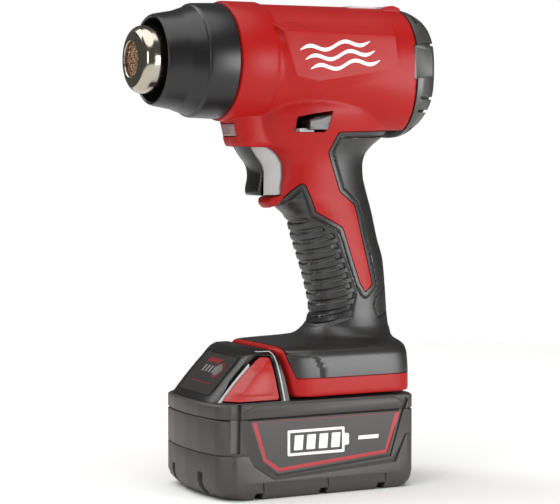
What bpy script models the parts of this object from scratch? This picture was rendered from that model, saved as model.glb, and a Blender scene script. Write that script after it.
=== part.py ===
"""A compact cordless heat gun on a slide-on battery pack.

The nozzle points along -Y, +X is the right-hand side and +Z is up. The origin is under the middle of the
whole tool, on the surface it stands on. Sizes are written in millimetres and turned into metres by MM.
"""

import math

import bmesh
import bpy
from mathutils import Matrix, Vector

MM = 0.001
GAP = 0.3

# Driving dimensions
AXIS_Z = 222.5
NOZZLE_FRONT = -82.0
NOZZLE_RADIUS = 17.2
MOUTH_RADIUS = 8.8
HOUSING_FRONT = -34.0
HOUSING_REAR = 67.0
TAIL = 82.0
WALL = 2.5
SKIN = 1.8
STRIPE_TOP = 60.0
FOOT_BOTTOM = 50.7
PACK_RIM = 49.3
PACK_SEAM = 41.2
PACK_HALF_WIDTH = 37.4
CELL_RADIUS = 9.15
CELL_LENGTH = 65.0
TRIGGER_Z = 163.0
RING_POINTS = 26

# Barrel cross-sections: y, centre z, half width, height above centre, height below it, squareness
BARREL = (
    (HOUSING_FRONT, AXIS_Z, 29.6, 29.6, 29.6, 2.0),
    (-33.0, AXIS_Z, 30.8, 30.8, 30.8, 2.0),
    (-13.5, AXIS_Z, 30.8, 30.8, 30.8, 2.0),
    (-11.5, AXIS_Z, 29.8, 29.9, 30.2, 2.0),
    (10.0, 222.0, 30.2, 30.4, 31.2, 2.1),
    (35.0, 221.0, 31.4, 31.4, 33.4, 2.25),
    (55.0, 220.0, 32.4, 32.3, 35.4, 2.4),
    (HOUSING_REAR, 219.5, 32.4, 32.2, 36.3, 2.45),
)
CAP = (
    (HOUSING_REAR + GAP, 219.5, 32.4, 32.2, 36.3, 2.45),
    (71.0, 219.5, 32.2, 31.6, 35.0, 2.45),
    (76.0, 219.5, 30.6, 29.4, 31.6, 2.5),
    (80.0, 219.5, 27.4, 26.0, 27.4, 2.6),
    (TAIL, 219.5, 23.4, 22.0, 23.0, 2.7),
)
# Handle and foot cross-sections: z, front y, back y, half width, squareness
HANDLE = (
    (FOOT_BOTTOM, -9.6, 64.3, 36.8, 7.0),
    (STRIPE_TOP, -11.8, 64.3, 36.7, 7.0),
    (70.0, -13.8, 64.0, 36.0, 6.5),
    (73.6, -14.6, 64.2, 34.8, 6.0),
    (75.6, -15.2, 64.2, 31.5, 5.0),
    (77.2, 2.0, 64.9, 26.0, 3.0),
    (78.6, 12.0, 65.6, 22.5, 2.5),
    (80.9, 16.4, 65.3, 20.6, 2.4),
    (84.5, 19.6, 64.6, 19.2, 2.3),
    (92.0, 21.2, 63.9, 18.0, 2.3),
    (105.0, 18.6, 63.1, 17.6, 2.3),
    (118.0, 14.6, 61.9, 17.2, 2.3),
    (130.0, 10.4, 58.4, 17.0, 2.3),
    (142.0, 6.8, 55.6, 16.8, 2.3),
    (148.0, 2.0, 54.0, 16.6, 2.3),
    (153.0, -2.5, 52.6, 16.6, 2.3),
    (163.0, -1.0, 49.6, 17.4, 2.4),
    (169.0, -2.5, 49.2, 18.0, 2.4),
    (174.0, -5.5, 50.4, 18.8, 2.4),
    (179.0, -12.0, 54.6, 20.2, 2.4),
    (184.0, -15.0, 61.0, 22.0, 2.4),
    (190.0, -17.0, 65.0, 24.2, 2.4),
    (200.0, -18.0, 66.0, 26.2, 2.4),
)
NOSE = (
    (178.3, -26.6, 4.0, 11.0, 4.0),
    (180.0, -27.6, 4.0, 12.0, 4.0),
    (186.0, -29.0, 4.0, 12.4, 4.0),
    (197.0, -31.4, 4.0, 13.0, 4.0),
)
LIP = (
    (145.6, -3.5, 12.0, 7.0, 2.6),
    (147.0, -7.0, 12.0, 9.4, 2.6),
    (150.5, -8.6, 12.0, 10.6, 2.6),
    (152.5, -7.6, 12.0, 10.0, 2.6),
)
# The dark overmould seen from the side (y, z): front grip, foot and back strap round a red inlay
GRIP_OUTLINE = (
    (-8.0, 146.4), (-3.1, 151.2), (-0.4, 156.4), (5.5, 159.0), (8.8, 158.6), (16.1, 144.4), (30.9, 136.2),
    (40.9, 106.6), (44.2, 101.7), (48.9, 105.6), (38.6, 148.1), (29.4, 154.9), (21.1, 175.7), (25.5, 186.1),
    (58.0, 186.9), (75.0, 187.0), (75.0, STRIPE_TOP + GAP), (-5.6, STRIPE_TOP + GAP), (-9.6, 70.0),
    (-11.2, 80.0), (-11.2, 143.0),
)
SIDE_PANEL = ((-17.0, 241.0), (55.4, 240.3), (58.2, 215.0), (3.0, 202.0), (-12.2, 211.2))
LOCK_SLOT = ((1.0, 186.0), (17.5, 186.0), (20.5, 197.2), (9.0, 195.5), (1.0, 193.8))
LOCK_OUTLINE = ((4.4, 186.8), (16.6, 186.8), (19.0, 195.8), (9.2, 194.4), (4.4, 192.6))
LABEL = ((-31.6, 39.6), (53.4, 39.6), (46.0, 19.6), (-17.0, 14.6), (-25.0, 20.4))
LATCH = ((-45.0, 50.6), (-16.2, 50.6), (-19.8, 71.8), (-29.6, 71.8))
# Screws: y, z and x under the head
SCREWS = (
    (57.0, 191.5, -14.0), (-16.0, 186.5, -7.0), (31.0, 143.0, -11.0), (43.3, 112.0, -11.0), (58.0, 67.0, -14.0),
)
# Pack outline in plan: half width and front are taken in by an inset at each level
PACK_LEVELS = ((0.0, 3.0, 9.0, 5.0), (3.0, 0.9, 3.8, 1.8), (8.0, 0.0, 0.0, 0.0), (PACK_SEAM, 0.0, 0.0, 0.0))
PACK_FRONT = -52.7
PACK_REAR = 64.3
# Head of the pack: z, front y, back y, half width
HEAD = (
    (PACK_RIM + GAP, -50.2, -10.2, 36.2),
    (60.0, -41.0, -12.5, 35.4),
    (68.0, -33.4, -14.3, 33.8),
    (72.4, -29.2, -15.2, 31.4),
    (74.6, -25.0, -15.8, 27.0),
)


def clear_scene():
    for item in list(bpy.data.objects):
        bpy.data.objects.remove(item, do_unlink=True)


def new_collection(name):
    collection = bpy.data.collections.new(name)
    bpy.context.scene.collection.children.link(collection)
    return collection


def new_material(name, colour, roughness, metallic=0.0):
    material = bpy.data.materials.new(name)
    material.use_nodes = True
    shader = material.node_tree.nodes["Principled BSDF"]
    shader.inputs["Base Color"].default_value = (*colour, 1.0)
    shader.inputs["Roughness"].default_value = roughness
    shader.inputs["Metallic"].default_value = metallic
    return material


def place(name, mesh, material=None):
    """A new object: a piece of the tool if it has a material, and a cutter if it has none."""
    item = bpy.data.objects.new(name, mesh)
    if material:
        mesh.materials.append(material)
        PIECES.objects.link(item)
    else:
        item.hide_render = True
        item.display_type = "WIRE"
        CUTTERS.objects.link(item)
    return item


def finish_mesh(name, bm, material=None):
    bmesh.ops.recalc_face_normals(bm, faces=bm.faces)
    mesh = bpy.data.meshes.new(name)
    bm.to_mesh(mesh)
    bm.free()
    return place(name, mesh, material)


def evaluated_mesh(item):
    return bpy.data.meshes.new_from_object(item.evaluated_get(bpy.context.evaluated_depsgraph_get()))


def loft(name, rings, material=None):
    """One closed body through rings of points, which all have the same count."""
    bm = bmesh.new()
    rows = [[bm.verts.new(Vector(point) * MM) for point in ring] for ring in rings]
    for lower, upper in zip(rows, rows[1:]):
        for i in range(len(lower)):
            j = (i + 1) % len(lower)
            bm.faces.new((lower[i], lower[j], upper[j], upper[i]))
    bm.faces.new(list(reversed(rows[0])))
    bm.faces.new(rows[-1])
    return finish_mesh(name, bm, material)


def superellipse(count, squareness):
    """Points round a unit superellipse; squareness 2 is a circle."""
    for step in range(count):
        angle = 2 * math.pi * (step + 0.5) / count
        c = math.cos(angle)
        s = math.sin(angle)
        yield math.copysign(abs(c) ** (2 / squareness), c), math.copysign(abs(s) ** (2 / squareness), s)


def barrel_rings(sections, inset=0.0):
    rings = []
    for y, centre, half_width, up, down, squareness in sections:
        ring = []
        for u, v in superellipse(RING_POINTS, squareness):
            height = (up if v > 0 else down) - inset
            ring.append(((half_width - inset) * u, y, centre + height * v))
        rings.append(ring)
    return rings


def plan_rings(sections, inset=0.0, lowered=(70.0, 79.0)):
    """Horizontal rings; an inset also lowers the sections of the foot's nearly level top."""
    rings = []
    for z, front, back, half_width, squareness in sections:
        drop = inset if lowered[0] <= z <= lowered[1] else 0.0
        middle = (front + back) / 2
        half_length = (back - front) / 2 - inset
        points = superellipse(RING_POINTS, squareness)
        rings.append([((half_width - inset) * u, middle + half_length * v, z - drop) for u, v in points])
    return rings


PLANES = {
    "X": Matrix(((0, 0, 1), (1, 0, 0), (0, 1, 0))).to_4x4(),
    "Y": Matrix(((1, 0, 0), (0, 0, -1), (0, 1, 0))).to_4x4(),
    "Z": Matrix.Identity(4),
}


def plate(name, outline, low, high, axis="X", material=None, bevel=0.0):
    """A flat outline given its thickness along an axis: (y, z) along X, (x, z) along Y or (x, y) along Z."""
    curve = bpy.data.curves.new(name, "CURVE")
    curve.dimensions = "2D"
    curve.fill_mode = "BOTH"
    curve.extrude = (high - low) / 2 * MM
    spline = curve.splines.new("POLY")
    spline.points.add(len(outline) - 1)
    for point, (u, v) in zip(spline.points, outline):
        point.co = (u * MM, v * MM, 0, 1)
    spline.use_cyclic_u = True
    shape = bpy.data.objects.new(name + "_curve", curve)
    CUTTERS.objects.link(shape)
    bm = bmesh.new()
    bm.from_mesh(evaluated_mesh(shape))
    bpy.data.objects.remove(shape)
    bmesh.ops.remove_doubles(bm, verts=bm.verts, dist=1e-6)
    bmesh.ops.dissolve_limit(bm, angle_limit=0.01, verts=bm.verts, edges=bm.edges)
    middle = (high + low) / 2 * MM
    offset = {"X": (middle, 0, 0), "Y": (0, middle, 0), "Z": (0, 0, middle)}[axis]
    bmesh.ops.transform(bm, matrix=Matrix.Translation(offset) @ PLANES[axis], verts=bm.verts)
    item = finish_mesh(name, bm, material)
    if bevel:
        round_edges(item, bevel)
    return item


def box(name, low, high, material=None, bevel=0.0):
    bm = bmesh.new()
    bmesh.ops.create_cube(bm, size=1.0)
    size = (Vector(high) - Vector(low)) * MM
    bmesh.ops.scale(bm, vec=size, verts=bm.verts)
    bmesh.ops.translate(bm, vec=(Vector(high) + Vector(low)) / 2 * MM, verts=bm.verts)
    item = finish_mesh(name, bm, material)
    if bevel:
        round_edges(item, bevel)
    return item


def round_edges(item, width, segments=1):
    bevel = item.modifiers.new("edges", "BEVEL")
    bevel.width = width * MM
    bevel.segments = segments
    bevel.limit_method = "ANGLE"
    bevel.angle_limit = math.radians(40)


TURNS = {
    "X": Matrix.Rotation(math.pi / 2, 4, "Y"),
    "Y": Matrix.Rotation(-math.pi / 2, 4, "X"),
    "Z": Matrix.Identity(4),
}


def turned(name, profile, centre, axis="Y", material=None, steps=24, closed=False):
    """A profile of (radius, place along the axis) turned round an axis, from its far end to its near end."""
    bm = bmesh.new()
    verts = [bm.verts.new(Vector((radius, 0, along)) * MM) for radius, along in profile]
    for start, end in zip(verts, verts[1:]):
        bm.edges.new((start, end))
    if closed:
        bm.edges.new((verts[-1], verts[0]))
    mesh = bpy.data.meshes.new(name)
    bm.to_mesh(mesh)
    bm.free()
    item = place(name, mesh, material)
    screw = item.modifiers.new("turn", "SCREW")
    screw.steps = steps
    screw.render_steps = steps
    screw.use_merge_vertices = True
    screw.merge_threshold = 1e-5
    screw.use_smooth_shade = False
    item.matrix_world = Matrix.Translation(Vector(centre) * MM) @ TURNS[axis]
    return item


def rod(name, radius, low, high, centre, axis="X", material=None, steps=16):
    profile = ((0, high), (radius, high), (radius, low), (0, low))
    return turned(name, profile, centre, axis, material, steps)


def ring(name, outer, inner, low, high, centre, axis="Y", material=None, steps=24):
    profile = ((inner, high), (outer, high), (outer, low), (inner, low))
    return turned(name, profile, centre, axis, material, steps, closed=True)


def tube(name, points, radius, material, resolution=2):
    curve = bpy.data.curves.new(name, "CURVE")
    curve.dimensions = "3D"
    curve.bevel_depth = radius * MM
    curve.bevel_resolution = resolution
    curve.use_fill_caps = True
    spline = curve.splines.new("POLY")
    spline.points.add(len(points) - 1)
    for target, point in zip(spline.points, points):
        target.co = (*(Vector(point) * MM), 1)
    item = bpy.data.objects.new(name, curve)
    curve.materials.append(material)
    PIECES.objects.link(item)
    return item


def helix(radius, low, high, turns, steps, centre, axis="Y"):
    turn = TURNS[axis].to_3x3()
    count = int(turns * steps)
    points = []
    for i in range(count + 1):
        angle = 2 * math.pi * i / steps
        along = low + (high - low) * i / count
        offset = Vector((radius * math.cos(angle), radius * math.sin(angle), along))
        points.append(Vector(centre) + turn @ offset)
    return points


def boolean(item, operation, *tools):
    for tool in tools:
        modifier = item.modifiers.new(operation.lower(), "BOOLEAN")
        modifier.operation = operation
        modifier.object = tool
    return item


def cut(item, *tools):
    return boolean(item, "DIFFERENCE", *tools)


def join(item, *tools):
    return boolean(item, "UNION", *tools)


def keep(item, *tools):
    return boolean(item, "INTERSECT", *tools)


def copy_as(name, item, material=None):
    """The finished shape of an object as a new object."""
    return place(name, evaluated_mesh(item), material)


def grown(outline, distance):
    """An outline moved outwards by a distance, corner by corner."""
    area = sum(a[0] * b[1] - b[0] * a[1] for a, b in zip(outline, outline[1:] + outline[:1]))
    turn = 1 if area > 0 else -1
    points = []
    for before, here, after in zip(outline[-1:] + outline[:-1], outline, outline[1:] + outline[:1]):
        first = (Vector(here) - Vector(before)).normalized()
        second = (Vector(after) - Vector(here)).normalized()
        out_first = Vector((first.y, -first.x)) * turn
        out_second = Vector((second.y, -second.x)) * turn
        miter = (out_first + out_second) / (1 + out_first.dot(out_second))
        points.append(tuple(Vector(here) + miter * distance))
    return tuple(points)


# Housing: the whole outer shape is made once, then hollowed, and split down the middle


def half_boxes():
    right = box("half_right", (GAP / 2, -120, -10), (60, 120, 280))
    left = box("half_left", (-60, -120, -10), (-GAP / 2, 120, 280))
    return {"right": right, "left": left}


def housing_outer():
    outer = loft("housing_outer", barrel_rings(BARREL))
    panel = plate("side_panel", SIDE_PANEL, -31.0, 31.0)
    round_edges(panel, 2.6)
    lugs = []
    for side in (-1, 1):
        low, high = sorted((side * 10.4, side * 13.2))
        lugs.append(box(f"hook_lug_{side}", (low, 59.0, 244.0), (high, 65.0, 253.3)))
    lofts = [loft(name, plan_rings(rows)) for name, rows in (("handle_outer", HANDLE), ("nose", NOSE), ("lip", LIP))]
    return join(outer, *lofts, panel, *lugs)


def housing_cavity():
    """The hollow inside both halves, with a solid column left for each screw."""
    inner_barrel = tuple(section for section in BARREL if section[0] >= -13.5)
    inner_barrel = ((HOUSING_FRONT + WALL, AXIS_Z, 30.8, 30.8, 30.8, 2.0), *inner_barrel)
    inner_barrel = (*inner_barrel, (HOUSING_REAR + 2, *BARREL[-1][1:]))
    cavity = loft("barrel_cavity", barrel_rings(inner_barrel, WALL))
    inner_handle = tuple(section for section in HANDLE if section[0] >= 84.5)
    inner_handle = ((69.6, 14.0, 66.0, 20.0, 2.4), *inner_handle)
    handle = loft("handle_cavity", plan_rings(inner_handle, SKIN + GAP + WALL))
    nose = box("nose_cavity", (-9.0, -25.6, 181.2), (9.0, 0.0, 200.0))
    columns = [
        rod(f"screw_column_{i}", 4.2, -50, 50, (0, y, z), steps=12) for i, (y, z, _) in enumerate(SCREWS)
    ]
    return cut(join(cavity, handle, nose), *columns)


def hinge_recess():
    return box("hook_recess", (-10.1, 38.0, 250.2), (10.1, 66.5, 256.0))


def trigger_room(name):
    return box(name, (-9.2, -25.0, 152.8), (9.2, 9.0, 178.9))


def housing_openings():
    """Everything that is cut through the walls: nozzle, trigger, lock, lamp, hook, pack rail and screw holes."""
    tools = [
        rod("nozzle_hole", NOZZLE_RADIUS + 0.4, -36.0, -30.0, (0, 0, AXIS_Z), "Y", steps=24),
        trigger_room("trigger_slot"),
        plate("lock_hole", LOCK_SLOT, -45.0, 45.0),
        box("lamp_hole", (-8.0, -35.0, 183.6), (8.0, -20.0, 190.6)),
        hinge_recess(),
        rod("hook_pin_hole", 1.3, -12.4, 12.4, (0, 62.2, 251.8), "X", steps=10),
        box("rail_slot_low", (-21.8, -20.0, 45.0), (21.8, 52.6, 58.0)),
        box("rail_slot_high", (-25.8, -20.0, 57.4), (25.8, 52.6, 66.2)),
        box("contact_hole", (-15.0, 34.0, 64.0), (15.0, 46.0, 72.0)),
    ]
    for i, (y, z, head) in enumerate(SCREWS):
        tools.append(rod(f"screw_hole_{i}", 1.8, -45.0, head + 19.5, (0, y, z), steps=10))
        tools.append(rod(f"screw_well_{i}", 3.3, -60.0, head, (0, y, z), steps=12))
    return tools


def lip_rings(margin):
    """The guard under the trigger, grown all round by a margin."""
    levels = [(z, *rest) for z, *rest in LIP]
    levels[0] = (LIP[0][0] - margin, *LIP[0][1:])
    levels[-1] = (LIP[-1][0] + margin, *LIP[-1][1:])
    return plan_rings(levels, -margin)


def grip_pocket(core):
    """The room that the overmould takes out of the housing."""
    pocket = plate("grip_pocket", grown(GRIP_OUTLINE, GAP), -50.0, 50.0)
    return cut(pocket, core, loft("lip_kept", lip_rings(GAP / 2)))


def make_housing(halves, handle_core):
    whole = cut(housing_outer(), grip_pocket(handle_core), housing_cavity(), *housing_openings())
    for side in ("left", "right"):
        keep(copy_as(f"housing_{side}", whole, RED), halves[side])


def make_grips(halves):
    outer = keep(loft("grip_outer", plan_rings(HANDLE)), plate("grip_side", GRIP_OUTLINE, -50.0, 50.0))
    room = join(loft("lip_room", lip_rings(GAP)), trigger_room("grip_trigger_room"))
    cut(outer, room, loft("grip_inner", plan_rings(HANDLE, SKIN)))
    well = rod("foot_screw_well", 3.3, -60.0, 0.0, (0, SCREWS[-1][0], SCREWS[-1][1]), steps=12)
    cut(outer, well)
    for side in ("left", "right"):
        keep(copy_as(f"grip_{side}", outer, GRIP_GREY), halves[side])


def make_screws():
    for i, (y, z, head) in enumerate(SCREWS):
        shank = ((0, 17.0), (1.0, 17.0), (1.4, 15.5), (1.4, 0.0))
        profile = (*shank, (2.9, 0.0), (2.9, -1.6), (2.0, -2.6), (0, -2.6))
        turned(f"housing_screw_{i + 1}", profile, (head - 0.3, y, z), "X", STEEL, 12)


# Hot end


def make_nozzle():
    front = NOZZLE_FRONT
    r = NOZZLE_RADIUS
    m = MOUTH_RADIUS
    outside = ((r, -8.0), (r, front + 5.2), (r - 0.7, front + 2.9), (r - 2.4, front + 1.1), (r - 5.0, front + 0.2))
    mouth = ((m + 1.2, front), (m, front + 0.5), (m, front + 1.4))
    inside = (
        (r - 5.3, front + 1.5), (r - 3.0, front + 2.4), (r - 1.6, front + 4.0),
        (r - 1.0, front + 5.8), (r - 1.0, -8.0),
    )
    turned("nozzle_tube", outside + mouth + inside, (0, 0, AXIS_Z), "Y", POLISHED_STEEL, 28, closed=True)


def make_shield():
    outside = (
        (28.4, -34.3), (29.7, -36.6), (28.9, -52.0), (27.6, -54.4), (26.7, -57.5), (24.4, -71.6), (23.4, -73.0),
    )
    inside = ((21.9, -73.0), (21.5, -72.0), (21.5, -40.0), (17.6, -40.0), (17.6, -34.3))
    turned("heat_shield", outside + inside, (0, 0, AXIS_Z), "Y", BLACK, 28, closed=True)


def make_heater():
    half_arm = 12.4
    t = 0.9
    cross = (
        (half_arm, t), (t, t), (t, half_arm), (-t, half_arm), (-t, t), (-half_arm, t),
        (-half_arm, -t), (-t, -t), (-t, -half_arm), (t, -half_arm), (t, -t), (half_arm, -t),
    )
    plate("heater_core", tuple((x, z + AXIS_Z) for x, z in cross), -74.0, -8.0, "Y", CERAMIC)
    tube("heating_coil", helix(14.0, -72.0, -12.0, 6, 8, (0, 0, AXIS_Z)), 0.4, COPPER)
    ring("heater_liner", 15.7, 15.0, -75.0, -6.0, (0, 0, AXIS_Z), "Y", CERAMIC)
    ring("insulating_ring", 26.6, 17.6, -30.6, -26.6, (0, 0, AXIS_Z), "Y", CERAMIC)
    box("thermal_cutout", (-4.0, -4.0, 241.2), (4.0, 5.0, 245.2), STEEL)


def make_blower():
    outside = ((25.0, 34.0), (25.0, 16.0), (18.4, 8.4), (17.1, 6.0), (17.1, -7.7))
    inside = ((16.1, -7.7), (16.1, 6.4), (17.6, 9.2), (24.0, 16.6), (24.0, 34.0))
    turned("air_duct", outside + inside, (0, 0, AXIS_Z), "Y", BLACK, 24, closed=True)
    ring("motor_can", 14.0, 1.9, 35.0, 60.0, (0, 0, AXIS_Z), "Y", STEEL)
    rod("motor_shaft", 1.6, 19.0, 61.5, (0, 0, AXIS_Z), "Y", STEEL, 12)
    make_fan()


def make_fan():
    disc = ring("fan_impeller", 22.4, 1.9, 29.0, 30.6, (0, 0, AXIS_Z), "Y", GREY_PLASTIC)
    join(disc, ring("fan_hub", 6.0, 1.9, 20.0, 29.5, (0, 0, AXIS_Z), "Y", steps=16))
    for i in range(9):
        blade = box(f"fan_blade_{i}", (5.0, 20.6, -0.6), (21.6, 29.6, 0.6))
        spin = Matrix.Rotation(2 * math.pi * i / 9, 4, "Y") @ Matrix.Rotation(0.35, 4, "Y")
        blade.matrix_world = Matrix.Translation(Vector((0, 0, AXIS_Z)) * MM) @ spin
        join(disc, blade)


# Intake end


def make_cap():
    cap = loft("rear_cap", barrel_rings(CAP), GREY_PLASTIC)
    inner = tuple((y - WALL, *rest) for y, *rest in CAP)
    cut(cap, loft("cap_cavity", barrel_rings(((inner[0][0] - 5, *inner[0][1:]), *inner[1:]), WALL)))
    for side in (-1, 1):
        low, high = sorted((side * 30.9, side * 45.0))
        cut(cap, box(f"cap_notch_{side}", (low, 60.0, 214.4), (high, 85.0, 231.6)))
    for i in range(5):
        z = 219.5 + 6.4 * (i - 2)
        cut(cap, box(f"intake_slot_{i}", (-15.0, 78.0, z - 1.3), (15.0, 90.0, z + 1.3)))
    for i, y in enumerate((71.2, 75.4)):
        cut(cap, box(f"louvre_top_{i}", (-14.0, y - 0.9, 238.0), (14.0, y + 0.9, 260.0)))
        cut(cap, box(f"louvre_bottom_{i}", (-12.0, y - 0.9, 180.0), (12.0, y + 0.9, 198.0)))
    screen = rod("dust_screen", 22.0, 70.0, 70.8, (0, 0, 219.5), "Y", STEEL, 16)
    for i in range(5):
        z = 219.5 + 7.0 * (i - 2)
        half = math.sqrt(19.0**2 - (7.0 * (i - 2)) ** 2)
        cut(screen, box(f"screen_slot_{i}", (-half, 60.0, z - 2.2), (half, 80.0, z + 2.2)))


# Controls


def make_trigger():
    body = (
        (-20.5, 178.2), (-11.5, 168.8), (-10.9, 165.0), (-12.5, 155.6), (-12.2, 153.4),
        (-3.4, 153.3), (4.0, 154.6), (6.0, 158.0), (6.0, 178.2),
    )
    plate("trigger", body, -8.4, 8.4, material=LIGHT_GREY, bevel=0.6)
    pad = (
        (-23.6, 178.2), (-18.6, 173.4), (-15.2, 168.9), (-14.2, 165.0), (-15.0, 160.0), (-16.2, 156.6),
        (-15.2, 153.6), (-12.7, 153.1), (-12.9, 155.5), (-11.3, 165.0), (-11.9, 169.0), (-21.0, 178.2),
    )
    plate("trigger_pad", pad, -8.7, 8.7, material=BLACK)
    rod("switch_plunger", 2.0, 6.3, 18.0, (0, 0, TRIGGER_Z), "Y", LIGHT_GREY, 12)
    tube("trigger_spring", helix(3.6, 6.9, 14.6, 3, 8, (0, 0, TRIGGER_Z)), 0.45, STEEL)
    switch = box("switch_body", (-9.5, 15.2, 153.2), (9.5, 36.0, 173.0), BLACK)
    cut(switch, rod("plunger_bore", 2.4, 10.0, 27.0, (0, 0, TRIGGER_Z), "Y", steps=12))


def make_lock():
    lock = plate("lock_shuttle", LOCK_OUTLINE, -28.0, 28.0, material=BLACK)
    cut(lock, box("lock_waist", (-19.0, 0.0, 191.6), (19.0, 30.0, 200.0)))


def make_lamp():
    box("led_lens", (-7.6, -30.0, 183.9), (7.6, -27.2, 190.3), CLEAR, 0.5)
    box("led_board", (-7.0, -26.6, 183.9), (7.0, -25.0, 190.3), GREEN_BOARD)


def make_hook():
    loop = ((-9.8, 40.0), (-8.0, 38.4), (8.0, 38.4), (9.8, 40.0), (9.8, 63.2), (-9.8, 63.2))
    hook = plate("hang_hook", loop, 250.8, 252.8, "Z", LIGHT_GREY)
    join(hook, rod("hook_pin", 0.9, -12.0, 12.0, (0, 62.2, 251.8), "X", steps=10))
    cut(hook, box("hook_window", (-6.4, 41.8, 249.0), (6.4, 57.5, 255.0)))


def make_electrics():
    box("control_board", (-6.6, 28.0, 86.0), (-5.0, 37.6, 130.0), GREEN_BOARD)
    block = box("terminal_block", (-12.5, 31.5, 72.4), (12.5, 48.5, 78.0), BLACK)
    for i, x in enumerate((-11.0, -4.0, 4.0, 11.0)):
        join(block, box(f"blade_{i}", (x - 0.4, 35.4, 56.0), (x + 0.4, 44.6, 73.0)))
    route = (
        (41.0, 78.4), (38.0, 84.0), (33.0, 95.0), (29.0, 108.0), (25.0, 120.0), (21.5, 133.0), (20.5, 143.0),
        (22.0, 149.0), (24.0, 152.8),
    )
    for name, x in (("power_lead_positive", 6.4), ("power_lead_negative", 2.8)):
        material = RED if name.endswith("positive") else BLACK
        tube(name, [(x, y, z) for y, z in route], 1.1, material)


# Battery pack


def pack_ring(z, side=0.0, front=0.0, rear=0.0):
    """The pack's outline in plan at one height: straight sides, cut front corners and a bowed front."""
    half = (
        (0.0, PACK_FRONT + front), (16.0, PACK_FRONT + 0.9 + front), (31.0, PACK_FRONT + 3.7 + front),
        (PACK_HALF_WIDTH - side, -42.0 + front), (PACK_HALF_WIDTH - side, PACK_REAR - 6.0 - rear),
        (PACK_HALF_WIDTH - 1.8 - side, PACK_REAR - 1.8 - rear), (PACK_HALF_WIDTH - 6.0 - side, PACK_REAR - rear),
        (0.0, PACK_REAR - rear),
    )
    mirrored = tuple((-x, y) for x, y in reversed(half[1:-1]))
    return [(x, y, z) for x, y in half + mirrored]


def make_pack_base():
    base = loft("pack_base", [pack_ring(*level) for level in PACK_LEVELS], DARK_GREY)
    inset = 2.9
    cut(base, loft("cell_room", [pack_ring(z, inset, inset, inset) for z in (3.2, 50.0)]))
    for side in (-1, 1):
        low, high = sorted((side * 36.3, side * 45.0))
        cut(base, plate(f"label_room_{side}", grown(LABEL, GAP), low, high))
        for i, y in enumerate((-28.0, 9.0, 43.0)):
            low, high = sorted((side * 35.2, side * 45.0))
            cut(base, box(f"foot_notch_{side}_{i}", (low, y - 3.0, -5.0), (high, y + 3.0, 3.6)))


def make_labels():
    for name, side in (("label_left", -1), ("label_right", 1)):
        low, high = sorted((side * 36.6, side * 37.3))
        plate(name, LABEL, low, high, material=LABEL_BLACK)


def make_pack_cover():
    cover = loft("pack_cover", [pack_ring(z) for z in (PACK_SEAM + GAP, PACK_RIM)], DARK_GREY)
    inset = 2.9
    room = [pack_ring(z, inset, inset, inset) for z in (30.0, PACK_RIM - 2.3)]
    tower = box("rail_tower", (-21.2, -9.0, PACK_RIM - 1.0), (21.2, 51.8, 58.6))
    rails = box("rail_flanges", (-25.2, -9.0, 58.4), (25.2, 51.8, 65.6))
    cut(join(cover, tower, rails), loft("cover_room", room))
    for i, x in enumerate((-11.0, -4.0, 4.0, 11.0)):
        cut(cover, box(f"contact_slot_{i}", (x - 1.4, 34.4, 55.4), (x + 1.4, 60.0, 70.0)))


def head_rings():
    rings = []
    for z, front, back, half_width in HEAD:
        half = ((0.0, front), (21.0, front), (half_width, front + 9.0), (half_width, back))
        rings.append([(x, y, z) for x, y in half + tuple((-x, y) for x, y in reversed(half[1:]))])
    return rings


def make_pack_head():
    head = loft("pack_head", head_rings(), BLACK)
    for side in (-1, 1):
        low, high = sorted((side * 21.0, side * 45.0))
        cut(head, plate(f"latch_room_{side}", grown(LATCH, 0.4), low, high))
    cut(head, tilted(box("panel_room", (-20.9, -14.6, -1.5), (20.9, 14.6, 5.0))))
    cut(head, tilted(rod("button_room", 4.6, -3.6, 2.0, (0, 0, 0), "Z"), *BUTTON))


PANEL_MIDDLE = Vector((0, -39.3, 61.9))
PANEL_SLOPE = math.atan2(72.4 - (PACK_RIM + GAP), 50.2 - 29.2)
BUTTON = (8.4, 2.6)


def tilted(item, across=0.0, up=0.0):
    """Puts an object made flat on the sloping face of the pack's head."""
    lean = Matrix.Rotation(PANEL_SLOPE, 4, "X")
    on_panel = Matrix.Translation(Vector((across, up, 0)) * MM)
    item.matrix_world = Matrix.Translation(PANEL_MIDDLE * MM) @ lean @ on_panel
    return item


def make_gauge():
    panel = tilted(box("gauge_panel", (-20.5, -14.2, -1.2), (20.5, 14.2, 0.0), GLOSS_BLACK))
    cut(panel, tilted(rod("button_hole", 4.3, -3.0, 3.0, (0, 0, 0), "Z"), *BUTTON))
    tilted(rod("gauge_button", 3.9, -1.6, 0.6, (0, 0, 0), "Z", LIGHT_GREY), *BUTTON)


def make_latches():
    shape = loft("latch_shape", head_rings())
    for name, side in (("left", -1), ("right", 1)):
        low, high = sorted((side * 25.2, side * 45.0))
        latch = plate(f"latch_{name}", LATCH, low, high, material=RED)
        keep(latch, shape)
        spring = [Vector((side * x, y, z)) for x, y, z in helix(2.2, 21.5, 24.7, 3, 8, (0, -27.0, 61.0), "X")]
        tube(f"latch_spring_{name}", spring, 0.35, STEEL)


def make_cells():
    box("pack_board", (-28.0, -24.0, 42.6), (28.0, 56.0, 44.2), GREEN_BOARD)
    pitch = 2 * CELL_RADIUS + 0.4
    for i in range(10):
        row, place_in_row = divmod(i, 5)
        y = 13.0 + pitch * (place_in_row - 2)
        z = 4.0 + CELL_RADIUS + pitch * row
        half = CELL_LENGTH / 2
        rod(f"cell_{i + 1:02d}", CELL_RADIUS, -half, half, (0, y, z), "X", CELL_GREEN, 20)


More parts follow.
